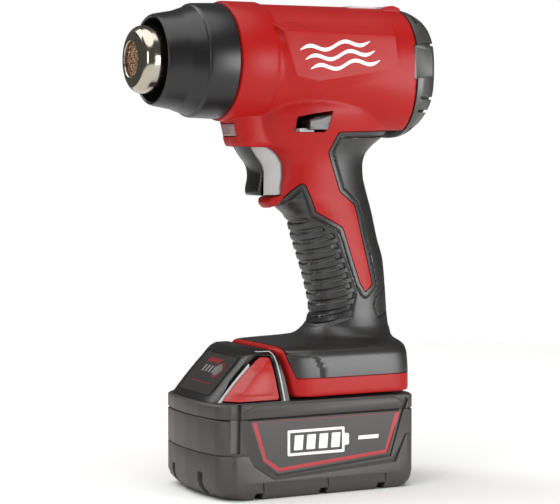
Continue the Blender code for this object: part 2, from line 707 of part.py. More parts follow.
clear_scene()
PIECES = new_collection("heat_gun")
CUTTERS = new_collection("cutters")
RED = new_material("red_moulding", (0.55, 0.02, 0.02), 0.4)
GRIP_GREY = new_material("grip_rubber", (0.045, 0.045, 0.045), 0.6)
GREY_PLASTIC = new_material("cap_moulding", (0.05, 0.05, 0.05), 0.5)
DARK_GREY = new_material("pack_moulding", (0.06, 0.055, 0.055), 0.55)
BLACK = new_material("black_moulding", (0.02, 0.02, 0.02), 0.4)
GLOSS_BLACK = new_material("gauge_window", (0.01, 0.01, 0.01), 0.1)
LABEL_BLACK = new_material("label_film", (0.03, 0.03, 0.03), 0.3)
LIGHT_GREY = new_material("light_moulding", (0.4, 0.4, 0.4), 0.45)
POLISHED_STEEL = new_material("polished_steel", (0.7, 0.66, 0.6), 0.15, 1.0)
STEEL = new_material("steel", (0.5, 0.5, 0.5), 0.35, 1.0)
COPPER = new_material("heating_wire", (0.6, 0.3, 0.15), 0.35, 1.0)
CERAMIC = new_material("mica", (0.6, 0.55, 0.45), 0.7)
CLEAR = new_material("lens", (0.7, 0.68, 0.68), 0.2)
GREEN_BOARD = new_material("circuit_board", (0.03, 0.18, 0.06), 0.5)
CELL_GREEN = new_material("cell_wrap", (0.1, 0.3, 0.2), 0.4)

halves = half_boxes()
make_housing(halves, loft("handle_core", plan_rings(HANDLE, SKIN + GAP)))
make_grips(halves)
make_screws()
make_nozzle()
make_shield()
make_heater()
make_blower()
make_cap()
make_trigger()
make_lock()
make_lamp()
make_hook()
make_electrics()
make_pack_base()
make_labels()
make_pack_cover()
make_pack_head()
make_gauge()
make_latches()
make_cells()
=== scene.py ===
import math

import bmesh
import bpy
import numpy as np
from mathutils import Matrix, Vector


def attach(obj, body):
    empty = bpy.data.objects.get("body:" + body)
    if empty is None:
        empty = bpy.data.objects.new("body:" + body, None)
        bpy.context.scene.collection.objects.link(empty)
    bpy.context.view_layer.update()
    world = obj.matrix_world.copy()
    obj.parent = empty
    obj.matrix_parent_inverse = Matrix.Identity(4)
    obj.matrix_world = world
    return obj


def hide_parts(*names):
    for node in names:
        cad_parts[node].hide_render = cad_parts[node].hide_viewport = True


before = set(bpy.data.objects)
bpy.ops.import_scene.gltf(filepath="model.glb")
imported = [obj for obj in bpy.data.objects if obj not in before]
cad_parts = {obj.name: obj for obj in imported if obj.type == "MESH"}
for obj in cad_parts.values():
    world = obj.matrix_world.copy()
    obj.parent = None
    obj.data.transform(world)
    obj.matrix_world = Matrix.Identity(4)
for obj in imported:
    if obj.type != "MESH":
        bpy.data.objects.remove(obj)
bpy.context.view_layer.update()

# ---------------------------------------------------------------------------------------------------------------
# Camera, studio light and floor. The tool stands on a white sweep; a big soft box at its right-hand rear gives the
# flat sides their pale sheen, and two smaller ones model the round parts.

MM = 0.001


def linear(code):
    """An sRGB hex colour as linear red, green, blue and full alpha."""
    parts = [int(code[i : i + 2], 16) / 255 for i in (1, 3, 5)]
    return (*(c / 12.92 if c <= 0.04045 else ((c + 0.055) / 1.055) ** 2.4 for c in parts), 1.0)


def node(tree, kind, inputs=None, **settings):
    """Adds a node with its settings; an input is a value or another node's output."""
    made = tree.nodes.new("ShaderNode" + kind)
    for name, value in settings.items():
        setattr(made, name, value)
    for name, value in (inputs or {}).items():
        if isinstance(value, bpy.types.NodeSocket):
            tree.links.new(value, made.inputs[name])
        else:
            made.inputs[name].default_value = value
    return made


def surface(name):
    """A new material with its node tree, its shader, and a place in metres on the object."""
    material = bpy.data.materials.new(name)
    material.use_nodes = True
    tree = material.node_tree
    return material, tree, tree.nodes["Principled BSDF"], node(tree, "TexCoord").outputs["Object"]


def grain(tree, shader, place, size, depth, detail=2.0):
    """A fine even bump of the given grain size and depth, both in millimetres."""
    noise = node(tree, "TexNoise", {"Vector": place, "Scale": 1 / (size * MM), "Detail": detail})
    bump = node(tree, "Bump", {"Height": noise.outputs["Fac"], "Distance": depth * MM, "Strength": 1.0})
    tree.links.new(bump.outputs["Normal"], shader.inputs["Normal"])
    return noise


camera = bpy.data.objects.new("camera", bpy.data.cameras.new("camera"))
bpy.context.scene.collection.objects.link(camera)
camera.data.sensor_width = 36.0
camera.data.lens = 122.14
camera.data.clip_end = 20.0
camera.location = (0.889, -0.4505, 0.1794)
target = Vector((-0.0006, 0.0028, 0.1232))
camera.rotation_mode = "QUATERNION"
camera.rotation_quaternion = (target - camera.location).to_track_quat("-Z", "Y")
bpy.context.scene.camera = camera
bpy.context.scene.view_settings.view_transform = "Standard"

# The surroundings are white to the camera, and only a dim fill to the tool
world = bpy.data.worlds.new("studio")
world.use_nodes = True
tree = world.node_tree
seen = node(tree, "LightPath")
level = node(tree, "MapRange", {"Value": seen.outputs["Is Camera Ray"], "To Min": 0.12, "To Max": 1.0})
tree.links.new(level.outputs["Result"], tree.nodes["Background"].inputs["Strength"])
tree.nodes["Background"].inputs["Color"].default_value = linear("#FFFFFF")
bpy.context.scene.world = world


TOOL_MIDDLE = Vector((0, 0, 0.12))


def shine(name, kind, place, power, **settings):
    """A lamp aimed at the middle of the tool."""
    lamp = bpy.data.objects.new(name, bpy.data.lights.new(name, kind))
    lamp.data.energy = power
    for setting, value in settings.items():
        setattr(lamp.data, setting, value)
    lamp.location = place
    lamp.rotation_mode = "QUATERNION"
    lamp.rotation_quaternion = (TOOL_MIDDLE - lamp.location).to_track_quat("-Z", "Y")
    bpy.context.scene.collection.objects.link(lamp)


shine("overhead_scrim", "SUN", (0.3, -0.5, 2.2), 2.6, angle=math.radians(75))
shine("right_rear_box", "AREA", (1.0, 0.6, 0.13), 10.0, shape="RECTANGLE", size=0.6, size_y=0.6)
shine("front_right_strip", "AREA", (0.62, -1.0, 0.3), 2.4, shape="RECTANGLE", size=0.16, size_y=0.6)
shine("left_box", "AREA", (-0.7, -0.7, 1.0), 5.0, shape="RECTANGLE", size=0.6, size_y=0.6)

FLOOR_RADIUS = 0.75
sheet = bmesh.new()
bmesh.ops.create_circle(sheet, cap_ends=True, segments=96, radius=FLOOR_RADIUS)
floor_mesh = bpy.data.meshes.new("floor")
sheet.to_mesh(floor_mesh)
sheet.free()
floor = bpy.data.objects.new("floor", floor_mesh)
bpy.context.scene.collection.objects.link(floor)
# White paper: matt, with a faint tooth
paper, tree, shader, place = surface("white_paper")
shader.inputs["Base Color"].default_value = linear("#FBFBFA")
shader.inputs["Roughness"].default_value = 0.8
grain(tree, shader, place, 1.5, 0.02)
floor_mesh.materials.append(paper)

# ---------------------------------------------------------------------------------------------------------------
# Housing: two halves of glass-filled nylon, moulded in red and screwed together from the left. The barrel runs into
# the neck in soft fillets; the collar, the raised side panels and the edges of the openings are crisp.


def new_object(name, mesh):
    item = bpy.data.objects.new(name, mesh)
    bpy.context.scene.collection.objects.link(item)
    return item


def from_points(name, points, faces):
    """An object from points in millimetres, with its faces turned outwards."""
    mesh = bpy.data.meshes.new(name)
    mesh.from_pydata([tuple(point) for point in np.asarray(points) * MM], [], faces)
    bm = bmesh.new()
    bm.from_mesh(mesh)
    bmesh.ops.recalc_face_normals(bm, faces=bm.faces)
    bm.to_mesh(mesh)
    bm.free()
    return new_object(name, mesh)


def loft(name, rings):
    """A closed body through rings of points."""
    rings = np.asarray(rings, float)
    count, around = rings.shape[:2]
    faces = []
    for k in range(count - 1):
        for i in range(around):
            j = (i + 1) % around
            faces.append((k * around + i, k * around + j, (k + 1) * around + j, (k + 1) * around + i))
    faces.append(tuple(range(around))[::-1])
    faces.append(tuple(range((count - 1) * around, count * around)))
    return from_points(name, rings.reshape(-1, 3), faces)


def prism(name, outline, low, high, axis="X"):
    """A flat outline given thickness: (y, z) along X, (x, z) along Y, (x, y) along Z."""
    order = {"X": (2, 0, 1), "Y": (0, 2, 1), "Z": (0, 1, 2)}[axis]
    rings = [[tuple((u, v, level)[i] for i in order) for u, v in outline] for level in (low, high)]
    return loft(name, rings)


def block(name, low, high):
    """A box between two corners."""
    (x0, y0, z0), (x1, y1, z1) = low, high
    return prism(name, [(x0, y0), (x1, y0), (x1, y1), (x0, y1)], z0, z1, "Z")


TURNS = {
    "X": Matrix.Rotation(math.pi / 2, 4, "Y"),
    "Y": Matrix.Rotation(-math.pi / 2, 4, "X"),
    "Z": Matrix.Identity(4),
}


def circles(profile, centre, axis, steps):
    """A circle round an axis for each (radius, place along the axis)."""
    angles = np.linspace(0, 2 * math.pi, steps, endpoint=False)
    turn = np.array(TURNS[axis].to_3x3())
    rings = []
    for r, along in np.asarray(profile, float):
        ring = np.stack([r * np.cos(angles), r * np.sin(angles), np.full(steps, along)], 1)
        rings.append(ring @ turn.T + np.asarray(centre))
    return rings


def turned(name, profile, centre, axis="Y", steps=96):
    """A closed profile of (radius, place along the axis) turned round an axis."""
    rings = circles(profile, centre, axis, steps)
    points = np.concatenate(rings)
    faces = []
    for k in range(len(rings)):
        nxt = (k + 1) % len(rings)
        for i in range(steps):
            j = (i + 1) % steps
            faces.append((k * steps + i, k * steps + j, nxt * steps + j, nxt * steps + i))
    return from_points(name, points, faces)


def rod(name, radius, low, high, centre, axis="X", steps=32):
    return loft(name, circles([(radius, low), (radius, high)], centre, axis, steps))


def settle(item):
    """Turns an object's modifiers into plain mesh."""
    made = bpy.data.meshes.new_from_object(item.evaluated_get(bpy.context.evaluated_depsgraph_get()))
    old = item.data
    item.modifiers.clear()
    item.data = made
    bpy.data.meshes.remove(old)


def carve(item, operation, *tools):
    """Booleans an object with closed tools, which are used up."""
    for tool in tools:
        modifier = item.modifiers.new("carve", "BOOLEAN")
        modifier.operation = operation
        modifier.solver = "MANIFOLD"
        modifier.object = tool
    settle(item)
    for tool in tools:
        bpy.data.objects.remove(tool)


def melt(item, voxel, rounds):
    """Remeshes evenly and relaxes the surface, so that joined bodies flow into each other."""
    remesh = item.modifiers.new("melt", "REMESH")
    remesh.mode = "VOXEL"
    remesh.voxel_size = voxel * MM
    smooth = item.modifiers.new("relax", "SMOOTH")
    smooth.factor = 0.5
    smooth.iterations = rounds
    settle(item)


def soften(item, width, segments=3, angle=35.0):
    """Rounds the sharp edges."""
    bevel = item.modifiers.new("edges", "BEVEL")
    bevel.width = width * MM
    bevel.segments = segments
    bevel.limit_method = "ANGLE"
    bevel.angle_limit = math.radians(angle)
    bevel.harden_normals = False
    settle(item)


def dress(item, material, angle=32.0):
    """Gives a piece its one material, and smooth shading that keeps the true edges."""
    item.data.materials.clear()
    item.data.materials.append(material)
    item.data.shade_smooth()
    item.data.set_sharp_from_angle(angle=math.radians(angle))


def moulded(name, light, dark, roughness, size, depth, patch=18.0, specular=0.5):
    """A moulding's skin: two close tones in soft patches, and an even fine grain; sizes are in millimetres."""
    material, tree, shader, place = surface(name)
    cloud = node(tree, "TexNoise", {"Vector": place, "Scale": 1 / (patch * MM), "Detail": 3.0})
    tones = {"Factor": cloud.outputs["Fac"], "A": linear(light), "B": linear(dark)}
    tree.links.new(node(tree, "Mix", tones, data_type="RGBA").outputs["Result"], shader.inputs["Base Color"])
    fine = grain(tree, shader, place, size, depth)
    limits = {"Value": fine.outputs["Fac"], "To Min": roughness - 0.05, "To Max": roughness + 0.05}
    tree.links.new(node(tree, "MapRange", limits).outputs["Result"], shader.inputs["Roughness"])
    shader.inputs["Specular IOR Level"].default_value = specular
    return material


def sided(name, outline, side, near, far):
    """A prism on one side of the tool, between two distances from its middle."""
    return prism(name, outline, *sorted((side * near, side * far)))


def superellipse(count, squareness):
    """A unit ring between a circle, at squareness 2, and a square."""
    angles = 2 * math.pi * (np.arange(count) + 0.5) / count
    c, s = np.cos(angles), np.sin(angles)
    return np.sign(c) * np.abs(c) ** (2 / squareness), np.sign(s) * np.abs(s) ** (2 / squareness)


def eased(rows, step):
    """More rows on a smooth curve through the given ones, which never overshoots them; the first column leads."""
    rows = np.asarray(rows, float)
    t = rows[:, 0]
    gaps = np.diff(t)
    out_t = np.unique(np.concatenate([np.arange(t[0], t[-1], step), t]))
    columns = [out_t]
    for values in rows[:, 1:].T:
        slopes = np.diff(values) / gaps
        ends = np.zeros(len(t))
        product, total = slopes[1:] * slopes[:-1], slopes[1:] + slopes[:-1]
        ends[1:-1] = np.where(product > 0, 2 * product / np.where(product > 0, total, 1), 0)
        ends[0], ends[-1] = slopes[0], slopes[-1]
        k = np.clip(np.searchsorted(t, out_t, side="right") - 1, 0, len(gaps) - 1)
        u = (out_t - t[k]) / gaps[k]
        h = gaps[k]
        columns.append(
            values[k] * (1 + 2 * u) * (1 - u) ** 2
            + ends[k] * h * u * (1 - u) ** 2
            + values[k + 1] * u**2 * (3 - 2 * u)
            + ends[k + 1] * h * u**2 * (u - 1)
        )
    return np.stack(columns, 1)


def plan_rings(rows, count=128, inset=0.0):
    """Horizontal rings from rows of z, front, back, half width and squareness."""
    rings = []
    for z, front, back, half_width, squareness in rows:
        u, v = superellipse(count, squareness)
        middle, reach = (front + back) / 2, (back - front) / 2 - inset
        rings.append(np.stack([(half_width - inset) * u, middle + reach * v, np.full(count, z)], 1))
    return rings


def barrel_rings(rows, count=128, inset=0.0):
    """Upright rings from rows of y, centre, half width, height above, height below and squareness."""
    rings = []
    for y, centre, half_width, up, down, squareness in rows:
        u, v = superellipse(count, squareness)
        height = np.where(v > 0, up, down) - inset
        rings.append(np.stack([(half_width - inset) * u, np.full(count, y), centre + height * v], 1))
    return rings


# The barrel's axis, and the sections of each body in the order that its ring function takes them
AXIS = 222.5
BARREL = (
    (-33.7, 222.5, 29.9, 29.9, 29.9, 2.0), (-12.0, 222.5, 29.9, 29.9, 30.1, 2.0),
    (10.0, 222.0, 30.2, 30.4, 31.2, 2.1),
    (35.0, 221.0, 31.4, 31.4, 33.4, 2.25), (55.0, 220.0, 32.4, 32.3, 35.4, 2.4),
    (67.0, 219.5, 32.4, 32.2, 36.3, 2.45),
)
HANDLE = (
    (50.7, -9.6, 64.3, 36.8, 7.0), (60.0, -11.8, 64.3, 36.7, 7.0), (70.0, -13.8, 64.3, 36.0, 6.5),
    (73.6, -14.6, 64.2, 34.6, 6.0), (75.6, -15.2, 64.2, 31.5, 5.0), (77.2, 2.0, 64.9, 26.0, 3.0),
    (78.6, 12.0, 65.4, 22.5, 2.5), (80.9, 16.4, 65.3, 20.6, 2.4), (84.5, 19.6, 64.6, 19.2, 2.3),
    (92.0, 21.2, 63.9, 18.0, 2.3), (105.0, 18.6, 63.1, 17.6, 2.3), (118.0, 14.6, 61.9, 17.2, 2.3),
    (130.0, 10.4, 58.4, 17.0, 2.3), (142.0, 6.6, 55.6, 16.8, 2.3), (147.0, 1.0, 54.4, 16.6, 2.3),
    (152.0, -5.0, 53.0, 16.6, 2.3), (157.0, -5.0, 51.4, 16.9, 2.3), (163.0, -3.4, 49.6, 17.4, 2.4),
    (169.0, -3.4, 49.2, 18.0, 2.4), (174.0, -6.0, 50.4, 18.8, 2.4), (179.0, -12.0, 54.6, 20.2, 2.4),
    (184.0, -15.0, 61.0, 22.0, 2.4), (190.0, -17.0, 65.0, 24.2, 2.4), (198.0, -17.6, 66.0, 25.8, 2.4),
    (201.0, -17.2, 66.0, 25.4, 2.4), (203.6, -16.4, 65.4, 23.8, 2.4), (205.4, -15.0, 64.0, 21.0, 2.4),
)
NOSE = (
    (178.3, -26.8, 10.0, 10.8, 3.0), (180.0, -27.7, 10.0, 12.0, 3.0), (186.0, -29.2, 10.0, 12.4, 3.0),
    (199.0, -31.6, 10.0, 13.4, 3.0),
)
LIP = (
    (145.4, -2.5, 13.0, 6.0, 2.6), (146.4, -6.4, 13.0, 8.8, 2.6), (148.6, -8.4, 13.0, 10.4, 2.6),
    (151.2, -8.5, 13.0, 10.6, 2.6), (152.6, -7.4, 13.0, 10.0, 2.6),
)
GRIP_OUTLINE = (
    (-8.0, 145.4), (-4.0, 148.0), (-0.7, 151.8), (3.4, 156.4), (7.4, 159.4), (9.4, 158.8), (16.1, 144.4),
    (30.9, 136.2),
    (40.9, 106.6), (44.2, 101.7), (48.9, 105.6), (38.6, 148.1), (29.4, 154.9), (21.1, 175.7), (25.5, 186.1),
    (58.0, 186.9), (75.0, 187.0), (75.0, 60.3), (-5.6, 60.3), (-9.6, 70.0), (-11.2, 80.0), (-11.2, 143.0),
)


def rounded(outline, radius, segments=4):
    """An outline with its corners turned into short curves."""
    points = []
    count = len(outline)
    for i in range(count):
        before, here, after = (Vector(outline[k % count]) for k in (i - 1, i, i + 1))
        reach_in = min(radius, (before - here).length * 0.45)
        reach_out = min(radius, (after - here).length * 0.45)
        start = here + (before - here).normalized() * reach_in
        end = here + (after - here).normalized() * reach_out
        for s in range(segments + 1):
            t = s / segments
            points.append(tuple(start * (1 - t) ** 2 + here * 2 * t * (1 - t) + end * t**2))
    return points


def grown(outline, distance):
    """An outline moved outwards (or inwards, if negative) corner by corner."""
    outline = tuple(outline)
    pairs = list(zip(outline, outline[1:] + outline[:1]))
    turn = 1 if sum(a[0] * b[1] - b[0] * a[1] for a, b in pairs) > 0 else -1
    points = []
    for before, here, after in zip(outline[-1:] + outline[:-1], outline, outline[1:] + outline[:1]):
        first = (Vector(here) - Vector(before)).normalized()
        second = (Vector(after) - Vector(here)).normalized()
        out = Vector((first.y, -first.x)) + Vector((second.y, -second.x))
        points.append(tuple(Vector(here) + out * turn * distance / (1 + first.dot(second))))
    return points


HALF_GAP = 0.12  # each half stops this far from the middle, which leaves the parting line


def half_space(side):
    low, high = sorted((side * HALF_GAP, side * 60.0))
    return block(f"half_{side}", (low, -120, -10), (high, 120, 280))


body = loft("body", barrel_rings(eased(BARREL, 4.0)))
neck = loft("neck", plan_rings(eased(HANDLE, 1.0)))
nose = loft("nose", plan_rings(eased(NOSE, 2.0)))
carve(body, "UNION", neck, nose, loft("lip", plan_rings(LIP)))
melt(body, 0.8, 10)

COLLAR = (
    (20.0, -33.8), (29.8, -33.8), (30.6, -33.4), (30.9, -32.6), (30.9, -14.6), (30.6, -13.6), (29.6, -11.0),
    (20.0, -11.0),
)
carve(body, "UNION", turned("collar", COLLAR, (0, 0, AXIS), steps=128))

# A raised flat on each side: its foot follows the barrel's curve, and soft chamfers lead up to its face
PANEL_FOOT = ((-15.4, 242.6), (56.0, 241.4), (60.8, 216.0), (5.2, 202.0), (-9.6, 211.4))
PANEL_FACE = ((-11.4, 237.6), (53.4, 236.4), (54.8, 219.8), (8.6, 211.8), (-3.6, 214.4))


def panel_x(y):
    """How far out the panel's face stands: it leans out a little towards the back."""
    return 31.35 + 0.0262 * (y + 1.0)


def barrel_x(y, z):
    """Half width of the barrel at a height."""
    ys, *columns = zip(*BARREL)
    centre, half_width, up, down, squareness = (np.interp(y, ys, column) for column in columns)
    reach = abs(z - centre) / (up if z > centre else down)
    return half_width * max(1 - reach**squareness, 0.01) ** (1 / squareness)


def divided(outline, parts):
    """Each edge of an outline cut into equal parts."""
    points = []
    for (ay, az), (by, bz) in zip(outline, outline[1:] + outline[:1]):
        points += [(ay + (by - ay) * t / parts, az + (bz - az) * t / parts) for t in range(parts)]
    return points


for side in (-1, 1):
    foot = divided(PANEL_FOOT, 14)
    face = divided(PANEL_FACE, 14)
    root = [(side * 10.0, y, z) for y, z in foot]
    meet = [(side * (barrel_x(y, z) - 0.35), y, z) for y, z in foot]
    panel = loft(f"panel_{side}", [root, meet, [(side * panel_x(y), y, z) for y, z in face]])
    soften(panel, 0.5, 2, 12.0)
    carve(body, "UNION", panel)

SKIN_DEPTH = 1.9  # the housing is cut back this far for the rubber skin
BEYOND = 60  # past the outside of the tool on either side
grip_cut = prism("grip_cut", rounded(grown(GRIP_OUTLINE, 0.3), 1.2), -BEYOND, BEYOND)
core = loft("core", plan_rings(eased(HANDLE, 2.0), inset=SKIN_DEPTH))


def guard_lip(name, margin):
    """The guard under the trigger, grown by a margin, its back slanting up to meet the grip."""
    lip = loft(name, plan_rings(LIP, inset=-margin))
    behind = ((-9.5, 140.0), (-8.0, 145.4), (-4.0, 148.0), (-0.7, 151.8), (2.6, 156.4), (14.0, 156.4), (14.0, 140.0))
    carve(lip, "DIFFERENCE", prism(f"{name}_slant", grown(behind, 0.3 - margin), -BEYOND, BEYOND))
    return lip


carve(grip_cut, "DIFFERENCE", core, guard_lip("lip_kept", 0.15))

LOCK_SLOT = ((1.0, 186.0), (17.5, 186.0), (20.5, 197.2), (9.0, 195.5), (1.0, 193.8))
# Each screw's place in Y and Z, and how far in its well reaches
SCREWS = ((57.0, 191.5, -14.0), (-16.0, 186.5, -7.0), (31.0, 143.0, -11.0), (43.3, 112.0, -11.0), (58.0, 67.0, -14.0))
SCREW_WELL = 3.3
TRIGGER_OPENING = (
    (-30.0, 152.9), (-30.0, 178.7), (-8.0, 178.7), (-1.0, 173.0), (8.5, 165.0), (8.5, 156.0), (2.0, 153.2),
    (-4.0, 152.8),
)
WALL = 2.5
air_room = ((-31.5, *BARREL[0][1:]), *BARREL[1:-1], (69.0, *BARREL[-1][1:]))
openings = [
    grip_cut,
    loft("hollow", barrel_rings(eased(air_room, 6.0), 96, WALL)),
    rod("nozzle_hole", 17.6, -40, -28, (0, 0, AXIS), "Y", 96),
    prism("trigger_hole", rounded(TRIGGER_OPENING, 2.5), -9.2, 9.2),
    block("pad_roof_room", (-6.4, -24.0, 178.0), (6.4, -20.0, 180.2)),
    block("trigger_roof_room", (-9.2, -20.8, 178.0), (9.2, 13.8, 180.2)),
    block("trigger_travel_room", (-9.2, 0.0, 153.0), (9.2, 13.8, 178.9)),
    prism("lock_hole", rounded(LOCK_SLOT, 1.0), -45, 45),
    block("lamp_hole", (-8.0, -35.0, 183.6), (8.0, -24.0, 190.6)),
    block("hook_recess", (-10.1, 38.0, 250.5), (10.1, 66.5, 256.0)),
    block("rail_slot_low", (-21.8, -20.0, 45.0), (21.8, 52.6, 58.0)),
    block("rail_slot_high", (-25.8, -20.0, 57.4), (25.8, 52.6, 66.2)),
]
TONGUE_ROOM = [(65.0, 213.8), (65.0, 231.8), (75.0, 231.8), (75.0, 213.8)]
openings += [sided("cap_tongue_room", rounded(TONGUE_ROOM, 0.8), side, 27.0, 40.0) for side in (-1, 1)]
openings += [rod(f"screw_well_{i}", SCREW_WELL, -BEYOND, head, (0, y, z)) for i, (y, z, head) in enumerate(SCREWS)]
for tool in openings:
    carve(body, "DIFFERENCE", tool)
LUG = ((54.0, 246.0), (54.0, 249.6), (58.4, 252.6), (62.6, 253.2), (66.9, 251.8), (66.9, 246.0))
lugs = [sided(f"lug_{side}", rounded(LUG, 1.6), side, 10.4, 14.6) for side in (-1, 1)]
for lug in lugs:
    soften(lug, 0.7, 3, 50)
carve(body, "UNION", *lugs)

# Glass-filled nylon, spark-eroded finish: a satin, slightly grainy skin with a soft broad highlight
red = moulded("red_glass_filled_nylon", "#AC1513", "#A21412", 0.4, 0.9, 0.02, specular=0.24)
for side, name in ((-1, "housing_left"), (1, "housing_right")):
    shell = new_object(f"{name}_shell", body.data.copy())
    carve(shell, "INTERSECT", half_space(side))
    dress(shell, red)
    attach(shell, "tool")
    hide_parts(name)
bpy.data.objects.remove(body)

# Three rising waves of warm air on each side panel, in pad-printing ink: flat white with a slight gloss
WAVE_LENGTH = 40.0
print_white = moulded("white_pad_print", "#F6F3F1", "#EFECEA", 0.35, 0.8, 0.004)
for side in (-1, 1):
    for i in range(3):
        start = 4.0 - 3.0 * i
        y = np.linspace(start, start + WAVE_LENGTH, 49)
        t = (y - start) / WAVE_LENGTH
        middle = 218.0 + 5.2 * i + 0.13 * (y - 4.0) + 1.5 * np.sin(4 * math.pi * t)
        half = 0.95 * np.sqrt(np.clip(np.minimum(t, 1 - t) * 9, 0.02, 1))
        line = list(zip(y, middle + half)) + list(zip(y[::-1], (middle - half)[::-1]))
        rings = [[(side * (panel_x(a) + lift), a, b) for a, b in line] for lift in (-0.3, 0.12)]
        wave = loft(f"air_wave_{'right' if side > 0 else 'left'}_{i + 1}", rings)
        wave.data.materials.append(print_white)
        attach(wave, "tool")

# ---------------------------------------------------------------------------------------------------------------
# Grips: thermoplastic rubber moulded over each half, dark grey and matt. Raised bands wrap the front of the handle,
# a groove follows the edge, and the same skin runs down over the foot.

RIB_PANEL = ((-20.0, 139.5), (12.4, 141.6), (27.6, 133.4), (39.2, 101.4), (36.4, 88.6), (14.0, 81.6), (-20.0, 83.0))
RIB_PITCH = 5.8
RIB_RISE = 0.28
RIB_DEPTH = 0.75
EDGE_LINE = 2.7
POCKET_DEPTH = 1.5
MOST_RELIEF = 1.55  # deeper, and the red would show through the skin
STRAP = ((70.0, 94.0), (52.5, 87.5), (49.0, 94.5), (50.5, 98.5), (70.0, 112.0))
SADDLE = ((-16.0, 58.0), (9.6, 58.0), (9.2, 65.0), (6.4, 71.0), (1.6, 74.2), (-16.0, 74.2))


def ramp(value, low, high):
    """A smooth step from 0 at low to 1 at high."""
    t = np.clip((value - low) / (high - low), 0, 1)
    return t * t * (3 - 2 * t)


def inside_depth(y, z, outline):
    """Distance in from the edge of an outline, negative outside it."""
    best = np.full(y.shape, 1e9)
    odd = np.zeros(y.shape, bool)
    for (ay, az), (by, bz) in zip(outline, outline[1:] + outline[:1]):
        length = math.hypot(by - ay, bz - az)
        t = np.clip(((y - ay) * (by - ay) + (z - az) * (bz - az)) / length**2, 0, 1)
        best = np.minimum(best, np.hypot(y - ay - t * (by - ay), z - az - t * (bz - az)))
        crosses = (az > z) != (bz > z)
        with np.errstate(divide="ignore", invalid="ignore"):
            odd ^= crosses & (y < (by - ay) * (z - az) / (bz - az) + ay)
    return np.where(odd, best, -best)


def grip_relief(points):
    """How far the skin is pressed in at each point of the handle, in millimetres."""
    y, z = points[:, 1], points[:, 2]
    panel = inside_depth(y, z, RIB_PANEL)
    along = (z - RIB_RISE * (y - 20.0) - 84.0) / RIB_PITCH
    from_gap = np.abs((along + 0.5) % 1.0 - 0.5) * RIB_PITCH
    ribs = RIB_DEPTH * (1 - ramp(from_gap, 0.5, 1.5)) * ramp(panel, 1.0, 1.8)
    pockets = POCKET_DEPTH * (1 - ramp(from_gap, 1.3, 1.75)) * ramp(y, 18.0, 21.0)
    pockets *= ramp(panel, 1.4, 1.9) * (1 - ramp(panel, 4.4, 5.0))
    pressed = ramp(panel, 0.0, 0.7) * 0.45 + np.maximum(ribs, pockets)
    edge = inside_depth(y, z, GRIP_OUTLINE)
    line = 0.85 * (1 - ramp(np.abs(edge - EDGE_LINE), 0.25, 0.7)) * (panel < -0.8) * (z > 84)
    crease = 0.7 * (1 - ramp(np.abs(inside_depth(y, z, STRAP) - 0.4), 0.15, 0.6))
    scoop = 1.5 * ramp(inside_depth(y, z, SADDLE), 0.0, 1.4)
    return np.minimum(pressed + line + crease + scoop, MOST_RELIEF)


grip = loft("grip", plan_rings(eased(HANDLE, 0.4), 360))
bpy.context.view_layer.update()
points, normals = np.empty((2, len(grip.data.vertices) * 3))
grip.data.vertices.foreach_get("co", points)
grip.data.vertices.foreach_get("normal", normals)
points, normals = points.reshape(-1, 3) / MM, normals.reshape(-1, 3)
between_ends = (points[:, 2] > 52) & (points[:, 2] < 198)
points -= normals * (grip_relief(points) * between_ends)[:, None]
grip.data.vertices.foreach_set("co", (points * MM).ravel())
grip.data.update()
carve(grip, "INTERSECT", prism("grip_side", rounded(grown(GRIP_OUTLINE, -0.25), 1.2), -BEYOND, BEYOND))
room = guard_lip("grip_lip_room", 0.35)
carve(room, "UNION", prism("grip_trigger_room", rounded(TRIGGER_OPENING, 2.5), -9.4, 9.4))
carve(grip, "DIFFERENCE", room)
carve(grip, "DIFFERENCE", loft("grip_core", plan_rings(eased(HANDLE, 2.0), inset=SKIN_DEPTH - 0.05)))
carve(grip, "DIFFERENCE", rod("foot_screw_well", SCREW_WELL, -BEYOND, 0, (0, *SCREWS[-1][:2])))

# Styrenic rubber overmould: matt, with a fine tooth that catches a pale sheen on the flats
rubber = moulded("grey_overmould_rubber", "#1E1C1B", "#191716", 0.4, 0.8, 0.02, specular=0.75)
for side, name in ((-1, "grip_left"), (1, "grip_right")):
    skin = new_object(f"{name}_skin", grip.data.copy())
    carve(skin, "INTERSECT", half_space(side))
    dress(skin, rubber)
    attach(skin, "tool")
    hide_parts(name)
bpy.data.objects.remove(grip)

# ---------------------------------------------------------------------------------------------------------------
# Heat shield: a ring of black high-temperature plastic that screws on round the nozzle. Moulded smooth, with a
# polished band at its wide end, a stepped waist and a rounded lip in front.

SHIELD = (
    (28.0, -34.0), (29.1, -34.1), (29.6, -34.6), (29.7, -35.6), (29.2, -49.4), (29.0, -50.2), (28.6, -50.7),
    (27.9, -51.2), (25.7, -57.6), (25.4, -58.2), (25.1, -59.4), (23.4, -69.0), (23.0, -70.2), (22.5, -70.8),
    (21.9, -70.9), (21.4, -70.5), (21.2, -69.6), (21.2, -40.0), (17.6, -40.0), (17.6, -34.0),
)
heat_shield = turned("heat_shield_ring", SHIELD, (0, 0, AXIS))
# Glass-filled polyphenylene sulphide, polished mould: near black, low sheen, faintly clouded
black_pps = moulded("black_pps", "#161616", "#0F0F0F", 0.34, 0.7, 0.008, 26.0)
dress(heat_shield, black_pps, 28)
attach(heat_shield, "tool")
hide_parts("heat_shield")

# ---------------------------------------------------------------------------------------------------------------
# Nozzle: a tube of polished stainless steel, its end spun in to a rolled mouth. Heat has tinted it straw near the
# mouth. A fine wire screen sits just inside, with the heater cross and coil behind it.

